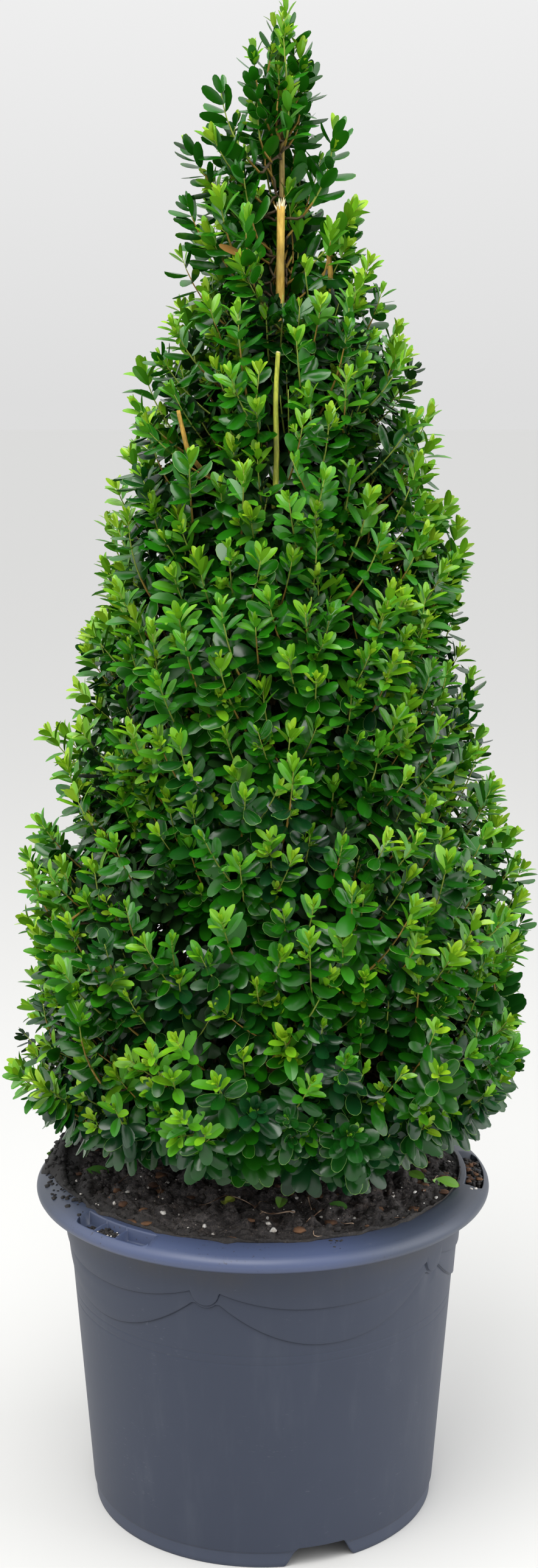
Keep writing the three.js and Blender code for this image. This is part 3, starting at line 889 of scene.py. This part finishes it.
crown = {
    "levels": ("skirt", "belly", "waist", "shoulder", "crest"),
    "seed": 7,
    "spacing": {"skirt": 21.5, "belly": 20, "waist": 19.5, "shoulder": 19.5, "crest": 26},
    "innerShare": 0.55,  # shoots behind the outer ones, for each outer one
    "innerDepth": (24, 52),
    "innerLength": 0.8,  # of an inner shoot, as a share of an outer one's
    "innerTop": 870,  # the highest inner tips, at the front and at the back
    "innerTopBack": 930,
    "depth": (-14, 5),  # of an outer tip, from the CAD mass's face
    "hollows": 32,  # depth of the upright hollows between clumps
    "slimFrom": 780,  # above this height, tips reach no further from the stem than the next row says
    "slim": ((780, 818, 839, 859, 884, 919, 950, 980), (97, 84, 76, 68, 59, 49, 38, 25)),
    "length": (60, 96),  # of a shoot with leaves
    "lengthAt": ((300, 500, 900, 1000), (0.85, 1, 0.9, 0.7)),  # share of that, by height
    "lift": (38, 262, 350),  # how far the lowest tips are lifted, fading out between two heights
    "lowest": 262,  # no twig reaches lower
    "longShoots": (0.08, 8, 19),  # the share that stick out, and how far
    "longBetween": (340, 930),  # heights of their tips
    "longYoung": 7,  # pairs of young leaves on each
    "leanAt": (  # by height, degrees from upright
        (262, 290, 330, 400, 560, 760, 900, 1000), (92, 70, 46, 31, 24, 20, 16, 10),
    ),
    "twigRadius": 0.75,
    "limbPower": 0.27,  # a limb's radius grows with this power of its shoots' number
    "limbSlope": 0.65,  # how far below its shoots a limb leaves the stem, as a share of their reach
    "leaderFrom": 885,  # limbs that start higher than this leave the leading shoot
    "bands": {"waist": 13, "shoulder": 13, "crest": 5},  # shoots on one limb where there is no bough
    "sprigs": (  # azimuth, reach from the stem and height below the tip; its length and young pairs
        (90, 3, 7, 76, 5), (-60, 6, 16, 64, 3), (80, 13, 32, 64, 4), (-8, 15, 48, 60, 2),
        (82, 34, 82, 60, 2), (62, 31, 92, 60, 0), (85, 43, 148, 62, 0), (70, 45, 156, 62, 4),
        (-85, 60, 92, 64, 2), (-92, 39, 56, 62, 0), (-70, 47, 88, 60, 4), (-75, 17, 54, 60, 1),
        (-35, 22, 74, 56, 1), (-45, 34, 111, 56, 0), (-80, 61, 130, 62, 0), (-82, 65, 162, 62, 3),
        (50, 22, 95, 56, 2), (75, 32, 118, 60, 0), (180, 18, 38, 70, 3), (150, 24, 62, 70, 1),
        (205, 30, 80, 66, 3), (235, 38, 104, 62, 2), (125, 32, 100, 64, 1), (250, 50, 126, 60, 2),
        (-25, 34, 120, 50, 4), (48, 36, 112, 50, 3), (-60, 20, 34, 60, 4), (120, 20, 46, 60, 1),
        (-110, 30, 76, 60, 2), (170, 42, 112, 60, 3), (190, 36, 88, 60, 0), (-8, 34, 84, 56, 1),
        (215, 46, 134, 60, 2), (150, 44, 136, 60, 1), (-21, 42, 168, 56, 4), (2, 44, 189, 60, 2),
        (14, 50, 196, 60, 1), (-10, 52, 200, 60, 3),
    ),
    "sprigGap": 17,  # other shoots keep this far from a sprig's tip
}

# leaves keep out of these, so that a stem's end shows: how far left, front and right of it, from which height
clearings = (
    ("trunk", (-11, 70, 12), 842),
    ("pruned_stem", (-5, 50, 6), 724),
    ("left_stub", (-4, 40, 7), 744),
)


def stemAt(line, height):  # the stem's centre at a height
    centres = line[0]
    height = np.asarray(height, float)
    return np.stack([np.interp(height, centres[:, 2], centres[:, 0]),
                     np.interp(height, centres[:, 2], centres[:, 1]), height], -1)


def awayFromStem(points, line):  # level directions
    return unit((points - stemAt(line, points[:, 2])) * (1, 1, 0))


def openPlace(points, lines):  # whether each point is in none of the clearings and not too low
    x, y, z = points.T
    keep = z > crown["lowest"] - 4
    for name, (left, front, right), low in clearings:
        endX, endY, endZ = lines[name][0][-1]
        level = (z > low) & (z < endZ + 13)
        keep &= ~(level & (x > endX + left) & (x < endX + right) & (y > endY - front) & (y < endY + 2))
    return keep


def outerSpots(rng, name, trunkLine):  # points scattered over the outer face of a CAD mass
    points, corners = nodeSurface(name)
    a, b, c = (points[corners[:, k]] for k in range(3))
    normal = np.cross(b - a, c - a)
    area = np.linalg.norm(normal, axis=1) / 2
    middle = (a + b + c) / 3
    normal = unit(normal)
    outward = awayFromStem(middle, trunkLine)
    wanted = normal[:, 2] > -0.2 if name == "foliage_leader" else (normal * outward).sum(1) > 0.3
    share = area * wanted
    count = int(share.sum() / 36)
    pick = rng.choice(len(share), count, p=share / share.sum())
    u, v = np.sqrt(rng.random(count))[:, None], rng.random(count)[:, None]
    return (1 - u) * a[pick] + u * (1 - v) * b[pick] + u * v * c[pick]


def spreadTips(rng, trunkLine):  # tips on all the outer faces, none nearer to its neighbour than the spacing
    names, spots, gaps, owner = [], [], [], []
    for level in crown["levels"]:
        found = sorted(name for name in nodes if name.startswith("foliage_" + level))
        if level == "crest":
            found.append("foliage_leader")
        for name in found:
            some = outerSpots(rng, name, trunkLine)
            spots.append(some)
            gaps.append(np.full(len(some), crown["spacing"][level]))
            owner.append(np.full(len(some), len(names)))
            names.append(name)
    spots, gaps, owner = (np.concatenate(rows) for rows in (spots, gaps, owner))
    kept = []
    sprigTips = sprigPlaces(trunkLine)[0]
    clear = np.linalg.norm(spots[:, None] - sprigTips[None], axis=2).min(1) > crown["sprigGap"]
    for index in rng.permutation(np.flatnonzero(clear)):
        if not kept or np.linalg.norm(spots[kept] - spots[index], axis=1).min() > gaps[index]:
            kept.append(index)
    kept = np.array(kept)
    return spots[kept], owner[kept], names


def sprigPlaces(trunkLine):  # tips, lengths and young pairs of the sprigs at the top
    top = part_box("foliage_leader")[1].z / mm
    rows = np.array(crown["sprigs"], float)
    height = top - rows[:, 2]
    stem = stemAt(trunkLine, height)
    return stem + outwardAt(rows[:, 0]) * rows[:, 1:2], rows[:, 3], rows[:, 4].astype(int)


# leaves

leaf = {
    "shapes": {  # where along the leaf, and half its width there as a share of the full width
        "old": ((0.07, 0.2), (0.27, 0.41), (0.53, 0.5), (0.79, 0.43), (0.95, 0.24)),
        "inner": ((0.16, 0.3), (0.5, 0.5), (0.85, 0.36)),
        "new": ((0.08, 0.17), (0.28, 0.39), (0.53, 0.5), (0.78, 0.44), (0.95, 0.22)),
    },
    "margin": 0.032,  # width of the pale margin, as a share of the leaf's width
    "marginShare": 0.22,  # how many outer old leaves show one
    "yellowedShare": 0.0012,
    "slots": {"yellowed": 4, "margin": 5, "inner": (6, 8)},  # in the old leaves' list of finishes
    "newWidth": ((0, 8), (0.37, 0.45)),  # share of its length, by how many pairs it is from the tip
    "newCup": (0.15, 0.55),
    "oldWidth": (0.47, 0.58),  # share of its length
    "slimmer": 0.14,  # how much of that an old leaf at the top loses
    "oldCup": (-0.62, -0.02),
    "missing": ((-1, -0.2), (0.75, 0.05)),  # share of old leaves gone, by how far they face outwards
    "shades": (  # how often each old shade comes; then what is added low down, and at the top
        (0.36, 0.32, 0.21, 0.11), (-0.3, 0, 0.2, 0.4), (0.4, 0.1, -0.12, -0.1),
    ),
    "internodes": (0.5, 1.8, 2.5, 3.2, 4.0, 4.8, 5.4, 6.0, 6.4, 6.8, 7.0, 7.2, 7.4, 7.6, 7.8, 8.0),
    "lengths": (6, 9.5, 12.5, 14.5, 16, 17, 17.5, 18.5, 19.5, 20),
    "spread": (8, 16, 25, 33, 40, 46, 51, 55, 58, 61),  # degrees between the leaf and its stem
    "sizeAt": ((850, 920, 980, 1012), (1, 1.1, 1.0, 0.84)),  # by the height of the shoot's tip
    "rosette": 0.12,  # how often a node bears a short side shoot
}

leafPaint = {
    "new": ((140, 180, 34), (105, 161, 24), (71, 139, 20), (44, 117, 17)),
    "old": ((27, 95, 8), (21, 81, 8), (16, 69, 15), (14, 58, 24)),
    "yellowed": ((116, 84, 36),),
    "margin": ((96, 136, 64),),
    # the inner leaves, deep in the crown, are painted darker than the outer old leaves: painted shade
    "inner": ((20, 48, 18), (28, 60, 22)),
    # the first stem colour, on the bare wood inside the crown, is painted darker: painted shade
    "stem": ((74, 62, 42), (148, 120, 52), (134, 152, 60)),
}


def leafTemplate(kind, margin):  # points as (along, across), triangles, quads, and which quads are margin
    rows = leaf["shapes"][kind]
    count = len(rows)
    inset = leaf["margin"] if margin else 0.0
    blade = [(inset * 0.6, 0)] + [(x, 0) for x, _ in rows] + [(1 - inset * 0.8, 0)]
    sides = [(x, side * (half - inset)) for side in (1, -1) for x, half in rows]
    points = blade + sides
    left, right = count + 2, 2 * count + 2
    rib = 0
    if kind == "new":  # a second row of points on the midrib, so that the blade is creased there
        rib = len(points)
        points = points + blade
    triangles = [(0, 1, left), (rib, right, rib + 1), (count, count + 1, left + count - 1),
                 (rib + count, right + count - 1, rib + count + 1)]
    quads = []
    for k in range(count - 1):
        quads.append((k + 1, k + 2, left + k + 1, left + k))
        quads.append((rib + k + 1, right + k, right + k + 1, rib + k + 2))
    inner = len(quads)
    if margin:
        outline = [(0, 0)] + list(rows) + [(1, 0)] + [(x, -half) for x, half in rows[::-1]]
        within = [0, *range(left, left + count), count + 1, *range(right + count - 1, right - 1, -1)]
        first, loop = len(points), len(outline)
        points = points + outline
        for k in range(loop):
            after = (k + 1) % loop
            quads.append((within[k], within[after], first + after, first + k))
    return np.array(points, float), np.array(triangles), np.array(quads), np.arange(len(quads)) >= inner


class Foliage:  # leaves of one kind, gathered shoot by shoot
    def __init__(self, kind, margin=False):
        self.template = leafTemplate(kind, margin)
        self.rows = []

    def add(self, keep, foot, along, face, *numbers):
        columns = [np.broadcast_to(number, len(foot)) for number in numbers]
        self.rows.append(np.concatenate([foot, along, face, np.stack(columns, -1)], axis=1)[keep])

    def number(self):
        return sum(len(rows) for rows in self.rows)

    def intoPile(self, pile):
        rows = np.concatenate(self.rows)
        foot, along, face = rows[:, 0:3], rows[:, 3:6], rows[:, 6:9]
        length, width, droop, cup, shade = rows[:, 9:14].T[:, :, None]
        side = np.cross(face, along)
        shape, triangles, quads, onMargin = self.template
        x, y = shape.T
        rise = cup * width * np.abs(2 * y) ** 1.4 * 0.5 - droop * length * x ** 2
        points = (foot[:, None] + along[:, None] * (length * x)[..., None]
                  + side[:, None] * (width * y)[..., None] + face[:, None] * rise[..., None])
        step = (np.arange(len(rows)) * len(shape))[:, None, None]
        shade = shade.astype(int)
        points = points.reshape(-1, 3)
        pile.add(points, ((triangles + step).reshape(-1, 3),), np.repeat(shade, len(triangles)))
        slots = np.where(onMargin, leaf["slots"]["margin"], shade).ravel()
        pile.addFaces((quads + step).reshape(-1, 4), slots, len(points))


def leafFinishes():
    def row(kind, roughness, shine):
        return [plainFinish(f"{kind}_leaf_{k + 1}", paint(*colour), roughness, shine)
                for k, colour in enumerate(leafPaint[kind])]
    old = row("old", 0.24, 0.42) + row("yellowed", 0.5, 0.3)
    old += row("margin", 0.5, 0.3) + row("inner", 0.4, 0.25)
    return old, row("new", 0.36, 0.42), row("stem", 0.6, 0.3)


def pointsAlong(path, places):  # points this far along a path, and the path's length
    steps = np.concatenate([[0], np.cumsum(np.linalg.norm(np.diff(path, axis=0), axis=1))])
    return np.stack([np.interp(places, steps, path[:, axis]) for axis in range(3)], -1), steps[-1]


# opposite pairs of leaves, each pair turned a right angle from the last, from the tip downwards
def dressShoot(rng, path, outward, style, layers, lines):
    total = pointsAlong(path, [0])[1]
    fromTip = np.cumsum(np.array(leaf["internodes"]) * style["stretch"])
    fromTip = fromTip[fromTip < total * 0.96]
    count = len(fromTip)
    number = np.arange(count)
    spot = pointsAlong(path, total - fromTip)[0]
    ahead = pointsAlong(path, np.minimum(total - fromTip + 3, total))[0]
    stem = unit(ahead - pointsAlong(path, total - fromTip - 3)[0])
    across = unit(np.cross(stem, outward) + 1e-6)
    front = np.cross(across, stem)
    young = number < style["young"]
    rank = np.minimum(number, len(leaf["lengths"]) - 1)
    turn = np.radians(45 + 90 * number + style["turn"] + rng.normal(0, 13, count))
    for side in (1, -1):
        out = side * (across * np.cos(turn)[:, None] + front * np.sin(turn)[:, None])
        facing = out @ outward
        angle = np.take(leaf["spread"], rank) * style["open"] + 12 * np.maximum(facing, 0)
        angle = np.radians(angle + rng.normal(0, 8, count))[:, None]
        sag = np.where(young, 0.05, style["sag"])[:, None] * np.array([0, 0, -1])
        along = unit(stem * np.cos(angle) + out * np.sin(angle) + sag)
        face = stem * np.sin(angle) - out * np.cos(angle) + np.array([0, 0, 0.3])
        face = face + np.where(young, 0.2, 0.42)[:, None] * outward + rng.normal(0, 0.2, (count, 3))
        face = unit(face - (face * along).sum(1)[:, None] * along)
        size = np.take(leaf["lengths"], rank) * style["size"] * rng.uniform(0.84, 1.12, count)
        foot = spot + out * 0.4
        keep = np.all([openPlace(foot + along * size[:, None] * share, lines)
                       for share in (0.25, 0.5, 0.75, 1)], axis=0)
        keep &= young | (rng.random(count) > np.interp(facing, *leaf["missing"]))
        droop = rng.uniform(-0.04, 0.2, count)
        if style["kind"] == "rosette":
            layers["rosette"].add(keep, foot, along, face, size, size * 0.47, droop, 0.25,
                                  np.clip(style["tone"] + number * 0.4, 0, 3))
            continue
        width = size * np.interp(number, *leaf["newWidth"]) * rng.uniform(0.95, 1.1, count)
        cup = rng.uniform(*leaf["newCup"], count)
        tone = np.clip(style["tone"] + number * 0.45 + rng.normal(0, 0.3, count), 0, 3)
        layers["new"].add(keep & young, foot, along, face, size, width, droop, cup, tone)
        width = size * rng.uniform(*leaf["oldWidth"], count) * (1 - leaf["slimmer"] * style["high"])
        cup = rng.uniform(*leaf["oldCup"], count)
        if style["kind"] == "inner":
            shade = rng.integers(*leaf["slots"]["inner"], count)
            layers["inner"].add(keep & ~young, foot, along, face, size, width, droop, cup, shade)
            continue
        shade = np.where(rng.random(count) < leaf["yellowedShare"], leaf["slots"]["yellowed"], style["shade"])
        rimmed = rng.random(count) < leaf["marginShare"]
        layers["rimmed"].add(keep & ~young & rimmed, foot, along, face, size, width, droop, cup, shade)
        layers["old"].add(keep & ~young & ~rimmed, foot, along, face, size, width, droop, cup, shade)
        for index in np.flatnonzero((rng.random(count) < leaf["rosette"]) & (number > 3) & (facing > -0.4)):
            reach = rng.uniform(5, 9)
            way = unit(stem[index] * 0.7 + out[index] * 0.8 + (0, 0, 0.3))
            bud = spot[index] + np.array([[0], [0.5], [1]]) * way * reach
            bud[2, 2] += 0.6
            layers["twigs"].add(*tube(bud[::2], [0.5, 0.3], 3), 2)
            small = {"kind": "rosette", "stretch": 0.7, "young": 9, "turn": rng.uniform(0, 90), "open": 1.25,
                     "sag": 0, "size": rng.uniform(0.5, 0.75), "tone": style["tone"]}
            dressShoot(rng, bud, unit(outward + way), small, layers, lines)


def shootStyle(rng, tip, outward, kind, young):  # a negative number of young pairs leaves it to chance
    low = 1 - ease(tip[2], 305, 400)
    high = ease(tip[2], 840, 930)
    sideways = abs(outward[0])
    bright = grain(tip[None], 55, 8)[0]
    # painted light: shoots facing left or right get lighter young leaves, for the brighter light at the
    # crown's sides
    tone = 1.05 - 0.6 * sideways - 0.8 * bright - 0.7 * high + 0.35 * low
    usualShade, lowShade, highShade = np.array(leaf["shades"])
    if young < 0:
        centre = (1 - sideways) * ease(tip[2], 330, 380) * (1 - ease(tip[2], 540, 640))
        usual = rng.normal(5.8 + 3.4 * bright + ease(tip[2], 850, 900) - 2.8 * centre, 1.7)
        young = 0 if kind == "inner" else int(np.clip(round(usual - 4.5 * low * (rng.random() < 0.8)), 0, 10))
    return {
        "kind": kind,
        "young": young,
        "high": high,
        "stretch": rng.uniform(0.85, 1.2),
        "turn": rng.normal(0, 16),
        "open": rng.uniform(0.85, 1.2) + 0.25 * low - 0.3 * high,
        "sag": rng.uniform(0.05, 0.25) + 0.3 * low,
        "size": rng.uniform(0.84, 1.12) * (1 + 0.09 * low) * np.interp(tip[2], *leaf["sizeAt"]),
        "tone": np.clip(rng.normal(tone, 0.45), 0, 2.4),
        "shade": rng.choice(4, p=unitSum(usualShade + low * lowShade + high * highShade)),
    }


def growTwigs(rng, twigs, start, heading, feet, members, dress):  # forks until each twig carries one shoot
    count = len(members)
    if count == 1:
        dress(members[0], start, heading)
        return
    middle = feet[members].mean(0)
    axis = np.linalg.svd(feet[members] - middle, full_matrices=False)[2][0]
    order = members[np.argsort((feet[members] - middle) @ axis)]
    cut = int(np.clip(round(count * rng.uniform(0.36, 0.64)), 1, count - 1))
    gap = np.linalg.norm(middle - start)
    share = 1 / (math.log2(count) + 1.5)
    fork = start + (middle - start) * share + heading * gap * share * 0.3 + rng.normal(0, 0.05, 3) * gap
    fork[2] = max(fork[2], crown["lowest"])
    reach = np.linalg.norm(fork - start)
    towards = unit(middle - start)
    radius = crown["twigRadius"] * count ** crown["limbPower"]
    path = bend(start, start + heading * reach * 0.35, fork - towards * reach * 0.35, fork, 4)
    twigs.add(*tube(path, np.linspace(radius * 1.08, radius * 0.95, 4), 5), 0)
    onward = unit(towards + 0.6 * unit(fork - start))
    growTwigs(rng, twigs, fork, onward, feet, order[:cut], dress)
    growTwigs(rng, twigs, fork, onward, feet, order[cut:], dress)


def limbStart(lines, name, feet):  # where the limb to these shoots leaves the wood, and which way
    bough = name.replace("foliage_skirt", "bough_1").replace("foliage_belly", "bough_2")
    if bough in lines:
        centres = lines[bough][0]
        return centres[-1], unit(centres[-1] - centres[-2])
    middle = feet.mean(0)
    reach = np.linalg.norm(middle[:2] - stemAt(lines["trunk"], middle[2])[:2])
    height = middle[2] - crown["limbSlope"] * reach
    line = lines["leader_stem"] if height > crown["leaderFrom"] else lines["trunk"]
    start = stemAt(line, min(height, line[0][-1, 2]))
    return start, unit(middle - start + (0, 0, 0.4 * reach))


def planTips(rng, lines):  # every shoot's tip, length, kind, young pairs and mass
    trunk = lines["trunk"]
    tips, owner, names = spreadTips(rng, trunk)
    outward = awayFromStem(tips, trunk)
    lift, low, high = crown["lift"]
    tips[:, 2] += lift * (1 - ease(tips[:, 2], low, high)) + rng.uniform(-5, 6, len(tips))
    behind = rng.random(len(tips)) < crown["innerShare"]
    behind &= tips[:, 2] < np.where(outward[:, 1] > -0.5, crown["innerTopBack"], crown["innerTop"])
    inner = tips[behind] - outward[behind] * rng.uniform(*crown["innerDepth"], behind.sum())[:, None]
    inner = inner + rng.normal(0, 8, inner.shape)
    hollow = np.maximum(grain(tips * (1, 1, 0.28), 19, 5) - 0.06, 0) * crown["hollows"] * 2.4
    depth = rng.uniform(*crown["depth"], len(tips)) - np.minimum(hollow, crown["hollows"])
    tips = tips + outward * depth[:, None]
    reach = ((tips - stemAt(trunk, tips[:, 2])) * outward).sum(1)
    most = np.interp(tips[:, 2], *crown["slim"]) - rng.uniform(0, 9, len(tips))
    over = np.where(tips[:, 2] > crown["slimFrom"], np.maximum(reach - most, 0), 0)
    tips = np.concatenate([tips - outward * over[:, None], inner])
    kind = np.array(["outer"] * len(outward) + ["inner"] * len(inner))
    owner = np.concatenate([owner, owner[behind]])
    keep = openPlace(tips, lines)
    tips, owner, kind = tips[keep], owner[keep], kind[keep]
    length = rng.uniform(*crown["length"], len(tips)) * np.where(kind == "inner", crown["innerLength"], 1)
    length = length * np.interp(tips[:, 2], *crown["lengthAt"])
    sprigTips, sprigLength, sprigYoung = sprigPlaces(trunk)
    young = np.concatenate([np.full(len(tips), -1), sprigYoung])
    tips = np.concatenate([tips, sprigTips])
    length = np.concatenate([length, sprigLength])
    kind = np.concatenate([kind, ["outer"] * len(sprigTips)])
    owner = np.concatenate([owner, [names.index("foliage_leader")] * len(sprigTips)])
    return tips, length, kind, young, np.array(names)[owner]


def planShoots(rng, lines):  # every shoot's tip, foot and directions, with its kind, young pairs and mass
    trunk = lines["trunk"]
    tips, length, kind, young, owner = planTips(rng, lines)
    outward = awayFromStem(tips, trunk)
    count = len(tips)
    lean = np.radians(np.interp(tips[:, 2], *crown["leanAt"]) + rng.normal(0, 10, count))[:, None]
    sway = unit(outward + rng.normal(0, 0.3, (count, 3)) * (1, 1, 0))
    direction = unit(sway * np.sin(lean) + np.array([0, 0, 1]) * np.cos(lean))
    share, least, most = crown["longShoots"]
    low, high = crown["longBetween"]
    long = (rng.random(count) < share) & (kind == "outer") & (young < 0)
    long &= (tips[:, 2] > low) & (tips[:, 2] < high)
    tips = tips + direction * (rng.uniform(least, most, count) * long)[:, None]
    young = np.where(long, crown["longYoung"], young)
    leave = unit(direction * 0.6 + sway * 0.55)
    foot = tips - unit(direction + leave) * length[:, None] * 0.97
    stem = stemAt(trunk, foot[:, 2])
    back = np.linalg.norm((foot - stem)[:, :2], axis=1)
    crossed = ((foot - stem) * outward).sum(1) < 3  # these stay on their own side of the stem
    foot[crossed] = stem[crossed] + outward[crossed] * np.minimum(back[crossed], 6)[:, None]
    foot[:, 2] = np.maximum(foot[:, 2], crown["lowest"] + 2)
    shoots = {"tip": tips, "foot": foot, "direction": direction, "leave": leave, "outward": outward,
              "kind": kind, "young": young, "owner": owner}
    keep = openPlace(foot, lines) & openPlace(lerp(foot, tips, 0.5), lines)
    return {key: values[keep] for key, values in shoots.items()}


def growShoot(rng, shoot, start, heading, layers, lines):  # a bare twig, its leafy end, and the leaves
    tip, foot, leave, way = (shoot[key] for key in ("tip", "foot", "leave", "direction"))
    first, second = np.linalg.norm(foot - start), np.linalg.norm(tip - foot)
    woody = bend(start, start + heading * first * 0.4, foot - leave * first * 0.35, foot, 4)
    leafy = bend(foot, foot + leave * second * 0.35, tip - way * second * 0.35, tip, 7)
    layers["twigs"].add(*tube(woody, np.linspace(0.9, 1.0, 4), 4), 0)
    points, (sides, ends) = tube(leafy, np.linspace(1.0, 0.34, 7), 3)
    green = rng.integers(1, 6)
    layers["twigs"].add(points, (sides,), np.repeat(np.arange(6) >= green, 3) + 1)
    layers["twigs"].addFaces(ends, np.repeat([1, 2], 3), len(points))
    style = shootStyle(rng, tip, shoot["outward"], shoot["kind"], shoot["young"])
    dressShoot(rng, leafy, shoot["outward"], style, layers, lines)


def growLevel(rng, level, shoots, twigs, lines):  # one level's leaves by layer, and the masses they replace
    layers = {"old": Foliage("old"), "rimmed": Foliage("old", True), "inner": Foliage("inner"),
              "new": Foliage("new"), "rosette": Foliage("inner"), "twigs": twigs}

    def dress(member, start, heading):
        growShoot(rng, {key: values[member] for key, values in shoots.items()}, start, heading, layers, lines)

    names = sorted({name for name in shoots["owner"] if name.startswith("foliage_" + level)})
    if level == "crest":
        names.append("foliage_leader")
    for name in names:
        bands = [np.flatnonzero(shoots["owner"] == name)]
        if level in crown["bands"]:
            rising = bands[0][np.argsort(shoots["foot"][bands[0]][:, 2])]
            bands = np.array_split(rising, max(1, round(len(rising) / crown["bands"][level])))
        for band in bands:
            start, heading = limbStart(lines, name, shoots["foot"][band])
            growTwigs(rng, twigs, start, heading, shoots["foot"], band, dress)
    return layers, names


def buildCrown(lines):
    rng = np.random.default_rng(crown["seed"])
    shoots = planShoots(rng, lines)
    old, new, stems = leafFinishes()
    twigs = Pile()
    leaves = {"old": 0, "new": 0}
    for level in crown["levels"]:
        layers, names = growLevel(rng, level, shoots, twigs, lines)
        for age, kinds, finishes, replaced in (("old", ("old", "rimmed", "inner"), old, names),
                                               ("new", ("new", "rosette"), new, ())):
            pile = Pile()
            for kind in kinds:
                if layers[kind].number():
                    layers[kind].intoPile(pile)
                    leaves[age] += layers[kind].number()
            makePiece(f"{age}_leaves_{level}", pile, finishes, replaced)
    makePiece("twigs", twigs, stems)
    print("shoots:", len(shoots["tip"]), "leaves:", leaves)


buildPot()
soil, onSoil = buildCompost()
buildLitter(soil, onSoil)
lines = buildLimbs()
buildCrown(lines)


# floor, light and camera

studio = {
    "floor": paint(200, 200, 199),
    "floorRadius": 60,  # metres
    "horizon": 0.73,  # brightness of the sky level with the eye, and overhead
    "overhead": 1.45,
    "panels": (  # place, aim, size, power and colour of each
        ((-450, -1000, 2200), (0, 0, 600), 1400, 40, (1.0, 0.99, 0.96)),
        ((1500, -300, 760), (0, 0, 150), 1500, 15, (1.0, 1.0, 1.0)),
        ((-1500, -200, 760), (0, 0, 150), 1500, 4, (1.0, 1.0, 1.0)),
    ),
    "camera": (4.3, -1406, 773),
    "tilt": 10.39,  # degrees below the horizon
    "lens": 47.77,
}


def aimed(thing, place, target):
    thing.location = np.array(place) * mm
    way = (np.array(target) - np.array(place)).astype(float)
    flat = math.hypot(way[0], way[1])
    thing.rotation_euler = (math.atan2(flat, -way[2]), 0, math.atan2(-way[0], way[1]))


def buildSky():
    world = bpy.data.worlds.new("studio")
    world.use_nodes = True
    background = world.node_tree.nodes["Background"]
    height = Link(world.node_tree).node("TexCoord", {}, {}).part("Z")
    rise = height.node("MapRange", {}, {"Value": height, "From Min": 0, "From Max": 1,
                                        "To Min": studio["horizon"], "To Max": studio["overhead"]})
    world.node_tree.links.new(rise.socket, background.inputs["Strength"])
    background.inputs["Color"].default_value = (1, 1, 1, 1)
    bpy.context.scene.world = world


def buildStudio():
    scene = bpy.context.scene
    floorMesh = bpy.data.meshes.new("floor")
    turn = np.linspace(0, 2 * np.pi, 96, endpoint=False)
    reach = studio["floorRadius"]
    corners = [(reach * math.cos(angle), reach * math.sin(angle), 0) for angle in turn]
    floorMesh.from_pydata(corners, [], [tuple(range(len(corners)))])
    floorMesh.materials.append(plainFinish("floor_pale", studio["floor"], 0.9, 0.2))
    floor = bpy.data.objects.new("floor", floorMesh)
    scene.collection.objects.link(floor)
    buildSky()
    for number, (place, target, size, power, colour) in enumerate(studio["panels"]):
        light = bpy.data.lights.new(f"panel_{number + 1}", "AREA")
        light.energy, light.size, light.color = power, size * mm, colour
        panel = bpy.data.objects.new(light.name, light)
        scene.collection.objects.link(panel)
        aimed(panel, place, target)
    camera = bpy.data.objects.new("camera", bpy.data.cameras.new("camera"))
    camera.data.lens = studio["lens"]
    camera.data.sensor_width = 36
    camera.location = np.array(studio["camera"]) * mm
    camera.rotation_euler = (math.radians(90 - studio["tilt"]), 0, 0)
    scene.collection.objects.link(camera)
    scene.camera = camera
    scene.view_settings.view_transform = "Standard"


buildStudio()
